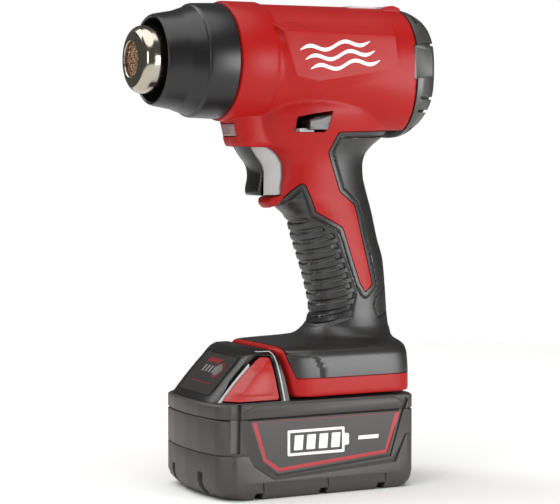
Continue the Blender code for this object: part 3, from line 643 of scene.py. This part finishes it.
NOZZLE_RADIUS = 17.2
NOZZLE_FRONT = -82.0
quarter = np.radians(np.arange(0, 91, 6))
shoulder = [(NOZZLE_RADIUS - 5.2 * (1 - math.cos(a)), NOZZLE_FRONT + 6.6 - 5.6 * math.sin(a)) for a in quarter]
quarter = np.radians(np.arange(0, 91, 15))
lip_round = [(9.7 - 0.7 * math.sin(a), NOZZLE_FRONT + 0.8 - 0.7 * math.cos(a)) for a in quarter]
inner_wall = [
    (9.0, NOZZLE_FRONT + 1.4), (9.4, NOZZLE_FRONT + 3.0), (14.6, NOZZLE_FRONT + 6.0), (16.2, -70.0), (16.2, -8.0),
]
nozzle_wall = [(NOZZLE_RADIUS, -8.0), *shoulder, *lip_round, *inner_wall]
nozzle = turned("nozzle_shell", nozzle_wall, (0, 0, AXIS), steps=144)


def banding(pitch):
    """The wave texture's scale for bands that come once in so many millimetres."""
    return math.pi / 10 / (pitch * MM)


# Polished stainless: a mirror, warm straw at the mouth where it has been hottest, with fine turning marks
steel_mirror, tree, shader, place = surface("polished_stainless")
parts = node(tree, "SeparateXYZ", {"Vector": place})
heat = node(tree, "MapRange", {"Value": parts.outputs["Y"], "From Min": -82.2 * MM, "From Max": -66 * MM})
tint = node(tree, "ValToRGB", {"Fac": heat.outputs["Result"]})
tint.color_ramp.elements[0].color = linear("#ADA594")
tint.color_ramp.elements[1].color = linear("#B4B1AA")
tree.links.new(tint.outputs["Color"], shader.inputs["Base Color"])
shader.inputs["Metallic"].default_value = 1.0
TURNING_MARKS = 0.748  # from one to the next: several times the real feed, so that they show
pattern = {"Vector": place, "Scale": banding(TURNING_MARKS), "Distortion": 1.2}
marks = node(tree, "TexWave", pattern, bands_direction="Y")
rough = node(tree, "MapRange", {"Value": marks.outputs["Fac"], "To Min": 0.1, "To Max": 0.2})
tree.links.new(rough.outputs["Result"], shader.inputs["Roughness"])
dress(nozzle, steel_mirror, 40)
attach(nozzle, "tool")
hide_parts("nozzle_tube")

# Woven screen: crossing wires crimped over and under each other, drawn about twice as coarse as real ones, so that
# the weave shows
WIRE_PITCH = 1.3
WIRE = 0.26
SCREEN_RADIUS = 9.3
SCREEN_PLACE = -79.6
screen = bmesh.new()


def crimped_wire(across, lengthwise, rise):
    """One wire of the screen, with five sides."""
    half = math.sqrt(max(SCREEN_RADIUS**2 - across**2, 0.5))
    steps = max(8, int(half / 0.28))
    last = None
    for k in range(steps + 1):
        along = -half + 2 * half * k / steps
        x, z = (along, across) if lengthwise else (across, along)
        y = SCREEN_PLACE + rise * math.cos(math.pi * along / WIRE_PITCH)
        ring = []
        for angle in np.arange(5) * 2 * math.pi / 5:
            u, v = WIRE * math.cos(angle), WIRE * math.sin(angle)
            dx, dy, dz = (0, u, v) if lengthwise else (u, v, 0)
            ring.append(screen.verts.new(((x + dx) * MM, (y + dy) * MM, (AXIS + z + dz) * MM)))
        if last:
            for a in range(5):
                screen.faces.new((last[a], last[(a + 1) % 5], ring[(a + 1) % 5], ring[a]))
        last = ring


for lengthwise in (False, True):
    for row in range(-7, 8):
        crimped_wire(row * WIRE_PITCH, lengthwise, WIRE * (1 - 2 * (row % 2)) * (1 if lengthwise else -1))
mesh = bpy.data.meshes.new("outlet_screen")
screen.to_mesh(mesh)
screen.free()
# Nickel-chrome wire that has been glowing: coppery brown with bright and sooty patches a wire or two across
wire, tree, shader, place = surface("heat_stained_nichrome")
patches = node(tree, "TexNoise", {"Vector": place, "Scale": 0.7 / MM, "Detail": 3.0})
stain = node(tree, "ValToRGB", {"Fac": patches.outputs["Fac"]})
stain.color_ramp.elements[0].position = 0.36
stain.color_ramp.elements[0].color = linear("#7A3A22")
stain.color_ramp.elements[1].position = 0.66
stain.color_ramp.elements[1].color = linear("#F0D2B0")
tree.links.new(stain.outputs["Color"], shader.inputs["Base Color"])
shader.inputs["Metallic"].default_value = 0.75
shader.inputs["Roughness"].default_value = 0.38
outlet_screen = new_object("outlet_screen", mesh)
mesh.materials.append(wire)
outlet_screen.data.shade_smooth()
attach(outlet_screen, "tool")

# ---------------------------------------------------------------------------------------------------------------
# Rear cap: black nylon, clipped over the back of the barrel. Four bumpers, pale flats between them, air slots in the
# end wall and louvres above and below.

CAP = (
    (67.3, 219.5, 32.4, 32.2, 36.3, 2.45), (70.0, 219.5, 32.4, 32.1, 36.0, 2.45),
    (73.0, 219.5, 31.8, 31.0, 34.2, 2.5),
    (76.0, 219.5, 30.8, 29.4, 31.8, 2.55), (79.2, 219.5, 28.4, 27.0, 28.4, 2.6), (81.2, 219.5, 25.4, 24.0, 25.2, 2.7),
    (82.0, 219.5, 23.2, 21.8, 22.8, 2.7),
)
CAP_WALL = 4.4
cap = loft("cap", barrel_rings(eased(CAP, 1.0), 144))
TONGUE = ((65.3, 214.1), (65.3, 231.5), (72.0, 231.5), (72.0, 214.1))
for side in (-1, 1):
    carve(cap, "UNION", sided("cap_tongue", rounded(TONGUE, 0.8), side, 28.5, 31.6))
cap_room = ((60.0, *CAP[0][1:]), *CAP[1:5], (79.9, *CAP[5][1:]))
carve(cap, "DIFFERENCE", loft("cap_hollow", barrel_rings(cap_room, 96, CAP_WALL)))


def cap_groove(low, high):
    """A groove 2 mm deep where a block meets the cap."""
    groove = block("cap_groove", low, high)
    carve(groove, "DIFFERENCE", loft("cap_core", barrel_rings(eased(CAP, 2.0), 96, 2.0)))
    carve(cap, "DIFFERENCE", groove)


FLAT = ((67.0, 231.0), (84.0, 229.6), (84.0, 216.0), (67.0, 214.6))
for side in (-1, 1):
    carve(cap, "DIFFERENCE", sided("cap_flat", rounded(FLAT, 0.6), side, 29.9, 40.0))
    near, far = sorted((side * 12.0, side * 40.0))
    for z in (231.6, 203.4, 196.6):
        cap_groove((near, 69.6, z), (far, 84.0, z + 1.5))
for y in (69.8, 74.2):
    cap_groove((-24.5, y, 234.5), (24.5, y + 1.7, 262.0))
    cap_groove((-20.0, y, 170.0), (20.0, y + 1.7, 196.0))
for i in range(-2, 3):
    z = 219.5 + 6.4 * i
    carve(cap, "DIFFERENCE", block("cap_slot", (-15.0, 72.0, z - 1.3), (15.0, 86.0, z + 1.3)))
soften(cap, 0.3, 2, 30.0)
# Glass-filled nylon in black: a fine spark-eroded grain with a soft grey sheen
black_nylon = moulded("black_glass_filled_nylon", "#3F3E3D", "#383736", 0.38, 0.7, 0.015, specular=0.8)
dress(cap, black_nylon)
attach(cap, "tool")
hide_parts("rear_cap")

# ---------------------------------------------------------------------------------------------------------------
# Trigger: a pale grey acetal slider with a soft black pad on its front, crowned for the finger and narrower at its
# foot. The lamp's lens sits in the nose above it.

TRIGGER_BODY = (
    (-20.9, 179.6), (-11.9, 169.0), (-11.2, 165.0), (-12.7, 156.0), (-12.4, 153.6), (-3.4, 153.5), (4.0, 154.8),
    (5.9, 158.0), (5.9, 179.6),
)
SPRING_PLACE = (0, 0, 163.0)
trigger = prism("trigger_body", rounded(TRIGGER_BODY, 1.4, 6), -8.3, 8.3)
carve(trigger, "DIFFERENCE", rod("spring_pocket", 4.3, -1.5, 8.0, SPRING_PLACE, "Y"))
carve(trigger, "UNION", rod("plunger_post", 2.5, -2.0, 6.2, SPRING_PLACE, "Y"))
soften(trigger, 0.7, 3, 50.0)
# Acetal, moulded: cool light grey, silky
acetal = moulded("grey_acetal", "#999795", "#8F8D8B", 0.36, 0.6, 0.006)
dress(trigger, acetal)
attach(trigger, "trigger")
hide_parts("trigger")

PAD = (
    (-23.6, 179.7), (-19.2, 173.2), (-15.6, 169.0), (-14.6, 163.0), (-16.2, 156.6), (-15.6, 153.2),
    (-12.9, 153.3), (-13.0, 156.0), (-11.5, 165.0), (-12.1, 169.2), (-16.2, 174.2), (-20.9, 179.7),
)
PAD_HALF = 8.7
PAD_CROWN = 3.4
pad_y, pad_z = np.asarray(rounded(PAD, 2.6, 6)).T
# The front of the pad draws back towards both sides, its back hardly at all
share = 0.1 + 0.9 * ramp(-13.4 - pad_y - 0.55 * np.clip(pad_z - 168.0, 0, 10), 0.0, 1.6)
pad_rings = []
for x in np.sin(np.linspace(-math.pi / 2, math.pi / 2, 21)) * PAD_HALF:
    bow = PAD_CROWN * (1 - math.sqrt(max(1 - (x / PAD_HALF) ** 2, 0)))
    pad_rings.append(np.column_stack([np.full(len(pad_y), x), pad_y + bow * share, pad_z]))
trigger_pad = loft("trigger_pad_skin", pad_rings)
# Black nylon, polished mould: nearly black with a clean highlight down its edge
pad_black = moulded("polished_black_nylon", "#1E1D1C", "#171615", 0.25, 0.8, 0.006)
dress(trigger_pad, pad_black, 50)
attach(trigger_pad, "trigger")
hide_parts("trigger_pad")

# The lens follows the nose's lean, with its sides turned back
lens_rings = []
u = np.linspace(-1, 1, 15)
for z in np.linspace(184.05, 190.25, 7):
    lean = -0.215 * (z - 178.0) - 27.2
    half = 7.5 + 0.12 * (z - 184.0)
    front = np.stack([half * u, lean + 0.25 + 1.6 * u**4, np.full(15, z)], 1)
    back = np.stack([half * u[::-1], np.full(15, -26.2), np.full(15, z)], 1)
    lens_rings.append(np.concatenate([front, back]))
lens = loft("lamp_lens", lens_rings)
soften(lens, 0.4, 2)
# Frosted polycarbonate over the white lamp: milky, and painted faintly pink to stand in for the red housing's light
# falling on it
frosted, tree, shader, place = surface("frosted_polycarbonate")
LENS_RIBS = 1.2083
ribs = node(tree, "TexWave", {"Vector": place, "Scale": banding(LENS_RIBS), "Distortion": 0.4}, bands_direction="X")
# Both tones carry the painted pink: a stand-in for red light from the housing round the lens
tones = {"Factor": ribs.outputs["Fac"], "A": linear("#8E706C"), "B": linear("#A88F8B")}
milk_and_painted_pink = node(tree, "Mix", tones, data_type="RGBA")
tree.links.new(milk_and_painted_pink.outputs["Result"], shader.inputs["Base Color"])
shader.inputs["Roughness"].default_value = 0.25
shader.inputs["Subsurface Weight"].default_value = 0.3
shader.inputs["Subsurface Scale"].default_value = 4 * MM
grain(tree, shader, place, 0.9, 0.02)
dress(lens, frosted)
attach(lens, "tool")
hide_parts("led_lens")

# ---------------------------------------------------------------------------------------------------------------
# Lock shuttle: a black nylon bar through the housing above the trigger, pushed across to lock it. Its ends are
# wedge-shaped buttons; a small pale marker sits beside each in the slot.

LOCK_END = ((5.4, 187.2), (16.2, 187.2), (18.6, 195.2), (9.8, 193.9), (5.4, 192.2))
LOCK_NECK = ((5.4, 187.2), (16.2, 187.2), (17.2, 191.2), (5.4, 191.2))
shuttle = prism("lock_shuttle_bar", LOCK_NECK, -24, 24)
for side in (-1, 1):
    end = sided(f"lock_end_{side}", rounded(LOCK_END, 0.8), side, 18.5, 27.9)
    soften(end, 0.8, 3, 50)
    carve(shuttle, "UNION", end)
    thumb_line = [(6.0, 190.2), (17.0, 190.2), (17.0, 190.7), (6.0, 190.7)]
    carve(shuttle, "DIFFERENCE", sided("lock_line", thumb_line, side, 27.2, 29.0))
MARKER = ((1.2, 186.2), (9.8, 186.2), (9.0, 188.3), (1.2, 187.9))
for side in (-1, 1):
    marker = sided(f"lock_marker_{side}", rounded(MARKER, 0.4), side, 19.0, 24.6)
    marker.data.materials.append(acetal)
    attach(marker, "tool")
dress(shuttle, pad_black)
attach(shuttle, "trigger_lock")
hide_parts("lock_shuttle")

# ---------------------------------------------------------------------------------------------------------------
# Hanging hook: a coated steel loop in a recess on top, on a pin between two lugs. It folds up to hang the tool.

loop = rounded([(-9.4, 38.8), (9.4, 38.8), (9.4, 62.9), (-9.4, 62.9)], 5.0, 8)
window = rounded([(-6.2, 42.2), (6.2, 42.2), (6.2, 57.2), (-6.2, 57.2)], 3.4, 8)
hook = prism("hook_loop", loop, 250.9, 252.7, "Z")
carve(hook, "DIFFERENCE", prism("hook_window", window, 249.0, 255.0, "Z"))
soften(hook, 0.55, 3)
carve(hook, "UNION", rod("hook_pin", 1.0, -12.0, 12.0, (0, 62.2, 251.8), "X", 24))
# Powder-coated steel: a matt, off-white baked skin with a faint orange peel about 1 mm across
powder_coat, tree, shader, place = surface("off_white_powder_coat")
peel = grain(tree, shader, place, 1.0, 0.004)
tones = {"Factor": peel.outputs["Fac"], "A": linear("#E9E9E9"), "B": linear("#E5E5E5")}
coat = node(tree, "Mix", tones, data_type="RGBA")
tree.links.new(coat.outputs["Result"], shader.inputs["Base Color"])
shader.inputs["Roughness"].default_value = 0.8
shader.inputs["Specular IOR Level"].default_value = 0.1
dress(hook, powder_coat)
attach(hook, "hook")
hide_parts("hang_hook")

# ---------------------------------------------------------------------------------------------------------------
# Battery pack, lower tray: black nylon round ten cells, with a softer bumper skirt along its foot. A seam under the
# rim, a second one across the front, corner facets and drain slots.

PACK_HALF = (
    (0.0, -52.6), (15.0, -51.9), (29.6, -49.2), (32.4, -47.4), (37.3, -41.8), (37.3, 58.3), (35.5, 62.4),
    (31.3, 64.2),
    (0.0, 64.2),
)


def pack_outline(side=0.0, front=0.0, rear=0.0):
    """Half outlines mirrored into the whole one, each side moved in by its own amount."""
    half = []
    for x, y in PACK_HALF:
        move = front * (y < -40) - rear * (y > 50)
        half.append((max(x - side * (x > 20), 0), y + move))
    return half + [(-x, y) for x, y in half[-2:0:-1]]


def pack_slab(name, levels):
    """A slab of the pack through levels of z and how far its sides, front and rear are moved in."""
    return loft(name, [[(x, y, z) for x, y in rounded(pack_outline(*moves), 1.6, 3)] for z, *moves in levels])


SEAM = 41.3
TRAY = (
    (0, 3, 9, 5), (1.2, 1.9, 5.6, 3.2), (3, 0.9, 3.4, 1.6), (5.6, 0.3, 1.2, 0.5), (9, 0, 0, 0), (SEAM - 0.6, 0, 0, 0),
    (SEAM, 0.6, 0.6, 0.6),
)
tray = pack_slab("tray", TRAY)
LABEL = ((-32.2, 40.0), (54.0, 40.0), (46.4, 19.0), (-17.2, 13.9), (-25.6, 20.0))
SKIRT_LINE = ((-60, 24.0), (-34, 23.8), (-31, 17.9), (-20, 10.4), (51.6, 14.6), (57.8, 28.4), (70, 28.6))
LABEL_SEAT = 36.62
DRAINS = (-30.5, 6.5, 40.5)
OUTSIDE = 40.0  # past the pack's side
for side in (-1, 1):
    # The side wall stands about 1 mm back above the skirt, a raised frame borders the label, and a channel and a gap
    # split the wall from the front and rear corners
    above = [*SKIRT_LINE, (70, SEAM - 0.01), (-60, SEAM - 0.01)]
    carve(tray, "DIFFERENCE", sided(f"wall_{side}", above, side, 36.3, OUTSIDE))
    border = grown(LABEL, 2.6)
    steps = ((34.0, border), (36.2, border), (37.35, grown(LABEL, 0.8)))
    rings = [[(side * x, y, min(z, 41.2)) for y, z in ring] for x, ring in steps]
    carve(tray, "UNION", loft(f"label_frame_{side}", rings))
    carve(tray, "DIFFERENCE", sided("label_seat", LABEL, side, LABEL_SEAT, 41))
    channel = [(-43.6, 24.4), (-43.2, 50), (-38.0, 50), (-38.4, 24.4)]
    rear_gap = [(54.9, 45), (57.8, 45), (49.0, 16.4), (47.2, 18.4)]
    carve(tray, "DIFFERENCE", sided("rear_gap", rear_gap, side, 35.4, OUTSIDE))
    carve(tray, "DIFFERENCE", sided("corner_channel", channel, side, 34.6, OUTSIDE))
    skirt_line = [*SKIRT_LINE, *((y, z - 0.7) for y, z in reversed(SKIRT_LINE))]
    carve(tray, "DIFFERENCE", sided("skirt_line", skirt_line, side, 36.2, OUTSIDE))
    for y0 in DRAINS:
        y1 = y0 + 5.0
        drain = [(y0, -1), (y1, -1), (y1, 3.6), (y0 + 0.6, 3.6)]
        carve(tray, "DIFFERENCE", sided("drain", drain, side, 30, OUTSIDE))
        crease = [(y1 + 0.2, -1), (y1 + 0.9, -1), (y1 + 0.1, 8.6), (y1 - 0.6, 8.6)]
        carve(tray, "DIFFERENCE", sided("drain_crease", crease, side, 36.4, OUTSIDE))
for side in (-1, 1):
    near, far = sorted((side * 14.0, side * 18.6))
    carve(tray, "DIFFERENCE", block("front_slot", (near, -60, -1), (far, -46.0, 13.5)))
front_line = block("front_line", (-60, -60, 23.2), (60, -41.2, 23.9))
carve(front_line, "DIFFERENCE", pack_slab("front_core", ((20, 0.7, 0.7, 0.7), (27, 0.7, 0.7, 0.7))))
carve(tray, "DIFFERENCE", front_line)
soften(tray, 0.3, 2, 40)
carve(tray, "DIFFERENCE", block("cell_room", (-33.0, -38.0, 3.2), (33.0, 60.0, 48.0)))
# Impact-modified nylon: charcoal, with a coarser spark-eroded grain that scatters a dull sheen
charcoal = moulded("charcoal_impact_nylon", "#403E3C", "#353331", 0.46, 0.8, 0.03)
dress(tray, charcoal)
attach(tray, "pack")
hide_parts("pack_base")

# ---------------------------------------------------------------------------------------------------------------
# Battery pack, lid: the rim band above the seam with a grained trim over each label, and the rail block that slides
# into the foot.

LID = ((SEAM + 0.2, 0.7, 0.7, 0.7), (SEAM + 0.7, 0, 0, 0), (48.3, 0, 0, 0), (49.2, 0.9, 0.9, 0.9))
lid = pack_slab("lid", LID)
TRIM = ((-36.0, 41.9), (-37.0, 45.4), (-30.0, 48.4), (50.6, 48.4), (58.0, 45.2), (56.0, 41.9))
for side in (-1, 1):
    steps = ((34.0, TRIM), (37.0, TRIM), (37.4, grown(TRIM, -0.7)))
    trim = loft(f"rim_trim_{side}", [[(side * x, y, z) for y, z in ring] for x, ring in steps])
    band = [(-60, 41.9), (-60, 48.6), (80, 48.6), (80, 41.9)]
    carve(lid, "DIFFERENCE", sided("rim_band", band, side, 36.8, OUTSIDE))
    carve(lid, "UNION", trim)
    channel = [(-43.3, 40), (-43.0, 50.0), (-37.8, 50.0), (-38.1, 40)]
    carve(lid, "DIFFERENCE", sided("corner_channel", channel, side, 34.6, OUTSIDE))
    rear_gap = [(53.6, 40), (56.6, 40), (59.4, 46.4), (57.4, 47.6)]
    carve(lid, "DIFFERENCE", sided("rear_gap", rear_gap, side, 35.4, OUTSIDE))
carve(lid, "UNION", block("rail_block", (-21.2, -9.0, 45.0), (21.2, 51.8, 58.6)))
carve(lid, "UNION", block("rail_flange", (-25.2, -9.0, 58.4), (25.2, 51.8, 65.6)))
soften(lid, 0.25, 2, 40)
carve(lid, "DIFFERENCE", block("board_room", (-33.0, -38.0, 38.0), (33.0, 60.0, 46.8)))
dress(lid, charcoal)
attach(lid, "pack")
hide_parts("pack_cover")

# ---------------------------------------------------------------------------------------------------------------
# Side labels: a printed film in each label seat: charcoal, with a red border along its lower edges and a plain
# battery picture with four white bars.


def printed(name, outline, side, low, high, material):
    """A thin layer of film or ink on the side of the pack."""
    layer = sided(name, outline, side, low, high)
    layer.data.materials.append(material)
    return layer


# Printed polyester film: smooth and faintly glossy, in charcoal, red and white
BORDER = 1.9
CASE = (
    (-12.0, 21.4), (-12.0, 34.6), (21.0, 34.6), (21.0, 31.0), (23.6, 31.0), (23.6, 25.0), (21.0, 25.0), (21.0, 21.4),
)
CASE_INSIDE = ((-10.6, 22.8), (-10.6, 33.2), (19.6, 33.2), (19.6, 22.8))
BAR_PITCH = 7.15
DASH = ((29.0, 27.2), (29.4, 29.2), (41.4, 29.2), (41.0, 27.2))
INK = (36.9, 37.0)
film = moulded("printed_film_charcoal", "#383635", "#333130", 0.32, 0.8, 0.004)
film_red = moulded("printed_film_red", "#B4202B", "#AA1C27", 0.3, 0.8, 0.004)
film_white = moulded("printed_film_white", "#F4F3F1", "#ECEBE8", 0.3, 0.8, 0.004)
for side, name in ((-1, "label_left"), (1, "label_right")):
    base = printed(f"{name}_film", LABEL, side, LABEL_SEAT, LABEL_SEAT + 0.25, film_red)
    inner = [(y, 39.7 if z > 38 else z) for y, z in grown(LABEL, -BORDER)]
    field = printed(f"{name}_field", inner, side, 36.8, 36.92, film)
    picture = sided(f"{name}_battery", rounded(CASE, 0.8), side, *INK)
    carve(picture, "DIFFERENCE", sided("battery_inside", rounded(CASE_INSIDE, 0.5), side, 36, 38))
    bars = []
    for i in range(4):
        y = -9.2 + BAR_PITCH * i
        bar = [(y + 0.8, 24.2), (y + 1.4, 31.8), (y + 6.4, 31.8), (y + 5.8, 24.2)]
        bars.append(sided(f"bar_{i}", rounded(bar, 0.4), side, *INK))
    carve(picture, "UNION", *bars)
    carve(picture, "UNION", sided("dash", DASH, side, *INK))
    picture.data.materials.clear()
    picture.data.materials.append(film_white)
    for piece in (field, picture):
        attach(piece, "pack")
    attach(base, "pack")
    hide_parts(name)

# ---------------------------------------------------------------------------------------------------------------
# Battery pack, head: black nylon in front of the foot, its sloped face framed round the charge gauge, with bright
# trims bordering the red latches.

HEAD = (
    (49.3, -50.2, -10.2, 36.2), (60.0, -41.0, -12.5, 35.4), (68.0, -33.4, -14.3, 33.8), (72.4, -29.2, -15.2, 31.4),
    (74.6, -25.0, -15.8, 27.0),
)


def head_rings(inset=0.0):
    """Horizontal rings of the head, from its rows of z, front, back and half width."""
    rings = []
    for z, front, back, half_width in eased(HEAD, 1.6):
        w, f = half_width - inset, front + inset
        half = [(0.0, f - 0.3), (12.0, f), (21.0, f + 0.5), (26.4, f + 2.3), (w, f + 9.6), (w, back)]
        rings.append([(x, y, z) for x, y in half + [(-x, y) for x, y in half[:0:-1]]])
    return rings


head = loft("head", head_rings())
soften(head, 1.0, 3, 30)
LATCH = ((-45.0, 50.6), (-16.2, 50.6), (-19.8, 71.8), (-29.6, 71.8))
for side in (-1, 1):
    carve(head, "DIFFERENCE", sided("latch_room", grown(LATCH, 0.8), side, 25.0, 45))
# The gauge sits in the middle of the sloped face, tilted with it
PANEL_TILT = math.atan2(22.8, 21.0)
panel_spot = Matrix.Translation(Vector((0, -39.3, 61.9)) * MM) @ Matrix.Rotation(PANEL_TILT, 4, "X")
gauge_seat = block("gauge_seat", (-18.9, -12.6, -0.5), (18.9, 12.6, 6.0))
gauge_seat.data.transform(panel_spot)
carve(head, "DIFFERENCE", gauge_seat)
soften(head, 0.3, 2, 45)
# Nylon from a polished mould: deep black, with a soft glint along the edges
satin_black = moulded("satin_black_nylon", "#181716", "#121110", 0.3, 0.8, 0.006, specular=0.35)
dress(head, satin_black)
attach(head, "pack")
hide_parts("pack_head")

# Bright trim: a thin strip of pale grey nylon let in round each latch, satin enough to catch a line of light
trim_grey = moulded("satin_grey_trim", "#B5B2AE", "#A9A6A2", 0.3, 0.8, 0.006)
for side in (-1, 1):
    edge = sided("trim_edge", grown(LATCH, 3.1), side, 24.0, 45)
    carve(edge, "DIFFERENCE", sided("trim_inside", grown(LATCH, 2.4), side, 20.0, 46))
    carve(edge, "INTERSECT", block("trim_rear_reach", (-60, -30.5, 40), (60, 0, 90)))
    front = [(-60, 40), (-29.4, 40), (-29.4, 90), (-60, 90)]
    carve(edge, "UNION", sided("trim_front", front, side, 27.6, 28.3))
    strip = loft(f"latch_trim_{side}", head_rings(-0.2))
    carve(strip, "INTERSECT", edge)
    carve(strip, "DIFFERENCE", loft("trim_core", head_rings(0.9)))
    carve(strip, "INTERSECT", block("trim_reach", (-60, -60, 49.8), (60, -10.6, 80)))
    dress(strip, trim_grey)
    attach(strip, "pack")

# Gauge window: smoked polycarbonate film with four grey bars, a red arc below and a badge above, and a round button
# in a red ring; satin, so that the print stays readable
smoked = moulded("smoked_film", "#2E2B2A", "#272423", 0.3, 0.8, 0.003)
bar_grey = moulded("gauge_grey", "#8A8784", "#7E7B78", 0.34, 0.8, 0.003)
gauge_red = moulded("gauge_red", "#7E1518", "#741316", 0.34, 0.8, 0.003)
WINDOW = ((-18.7, -12.4), (18.7, -12.4), (18.7, 12.4), (-18.7, 12.4))
BADGE = ((-10.6, 6.6), (4.4, 6.6), (5.6, 9.4), (-9.4, 9.4))
PRINT = (-0.25, -0.1)
BUTTON_SPOT = (8.4, 2.6, 0)
window = prism("gauge_window", rounded(WINDOW, 1.0), -0.55, -0.2, "Z")
window.data.transform(panel_spot)
window.data.materials.append(smoked)
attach(window, "pack")
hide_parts("gauge_panel")
marks_made = []
for i in range(4):
    x = -9.2 + 3.9 * i
    bar = [(x, 0.4), (x + 1.7, 0.4), (x + 2.1, 4.6), (x + 0.4, 4.6)]
    marks_made.append((prism(f"gauge_bar_{i + 1}", bar, *PRINT, "Z"), bar_grey))
arc = []
for radius, sweep in ((30.6, 0.36), (30.0, -0.36)):
    for a in np.linspace(-sweep, sweep, 17):
        arc.append((radius * math.sin(a), radius - 36.5 + 7.5 * (1 - math.cos(a))))
marks_made.append((prism("gauge_arc", arc, *PRINT, "Z"), gauge_red))
marks_made.append((prism("gauge_badge", rounded(BADGE, 0.3), *PRINT, "Z"), gauge_red))
RING = ((4.9, -0.25), (4.9, -0.05), (4.1, -0.05), (4.1, -0.25))
marks_made.append((turned("gauge_ring", RING, BUTTON_SPOT, "Z", 48), gauge_red))
for piece, material in marks_made:
    piece.data.transform(panel_spot)
    piece.data.materials.append(material)
    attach(piece, "pack")
BUTTON = ((0.01, -0.6), (3.7, -0.6), (3.7, 0.25), (3.4, 0.55), (2.2, 0.42), (0.01, 0.35))
button = turned("gauge_button_cap", BUTTON, BUTTON_SPOT, "Z", 48)
button.data.transform(panel_spot)
# Nylon, moulded: mid grey and satin, dished for a fingertip
button_grey = moulded("button_grey_nylon", "#6E6B68", "#63605D", 0.34, 0.8, 0.006)
dress(button, button_grey, 40)
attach(button, "gauge_button")
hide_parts("gauge_button")

# ---------------------------------------------------------------------------------------------------------------
# Latches: red acetal press buttons, one each side, each with a raised rounded triangle for the thumb.

# Acetal, moulded: a strong red with a silky, slightly waxy sheen
latch_red = moulded("red_acetal", "#AC1B18", "#A21916", 0.36, 0.8, 0.012, specular=0.32)
THUMB = ((-38.2, 53.2), (-19.6, 53.2), (-21.6, 67.0), (-27.6, 66.4))
for side, name in ((-1, "latch_left"), (1, "latch_right")):
    plate = loft(f"{name}_plate", head_rings(0.25))
    carve(plate, "INTERSECT", sided("latch_edge", rounded(LATCH, 1.2), side, 28.9, 45))
    raised = loft(f"{name}_thumb", head_rings(-0.3))
    carve(raised, "INTERSECT", sided("thumb_edge", rounded(THUMB, 3.0, 6), side, 29.5, 45))
    carve(plate, "UNION", raised)
    soften(plate, 0.3, 2, 35)
    dress(plate, latch_red)
    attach(plate, name)
    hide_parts(name)

# ---------------------------------------------------------------------------------------------------------------
# Insides, seen through the mouth, slots and joints: heater, blower, switch gear, wiring and cells. Each keeps the
# shape it has and takes the material of its kind.


def bare_metal(name, light, dark, roughness, pitch):
    """Drawn or turned metal: fine parallel marks that streak the shine."""
    material, tree, shader, place = surface(name)
    pattern = {"Vector": place, "Scale": banding(pitch), "Distortion": 3.0, "Detail": 2.0}
    marks = node(tree, "TexWave", pattern).outputs["Fac"]
    tone = node(tree, "Mix", {"Factor": marks, "A": linear(light), "B": linear(dark)}, data_type="RGBA")
    tree.links.new(tone.outputs["Result"], shader.inputs["Base Color"])
    rough = node(tree, "MapRange", {"Value": marks, "To Min": roughness - 0.06, "To Max": roughness + 0.06})
    tree.links.new(rough.outputs["Result"], shader.inputs["Roughness"])
    shader.inputs["Metallic"].default_value = 1.0
    return material


# Each kind of inside piece takes the finish of its own material
inside_finish = {
    "steel": bare_metal("drawn_steel", "#B9B8B5", "#9B9A97", 0.34, 0.789),
    "polished_steel": steel_mirror,
    "heating_wire": wire,
    # Mica board: pale brown flakes pressed together, with a pearly sheen
    "mica": moulded("mica_board", "#B7A684", "#8E7A58", 0.4, 0.9, 0.03, 3.0),
    # Glass-fibre board under green lacquer, blotched where copper lies beneath
    "circuit_board": moulded("lacquered_glass_fibre", "#1F5C36", "#174A2B", 0.3, 1.1, 0.02, 2.5),
    # Heat-shrunk film round each cell: smooth, faintly puckered
    "cell_wrap": moulded("heat_shrunk_film", "#2E6FA8", "#28649A", 0.25, 2.0, 0.02, 8.0),
    "red_moulding": red,
    "grip_rubber": rubber,
    "cap_moulding": black_nylon,
    "pack_moulding": charcoal,
    "black_moulding": pad_black,
    "light_moulding": acetal,
    "gauge_window": smoked,
    "label_film": film,
    "lens": frosted,
}
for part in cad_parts.values():
    for slot in part.material_slots:
        slot.material = inside_finish[slot.material.name]
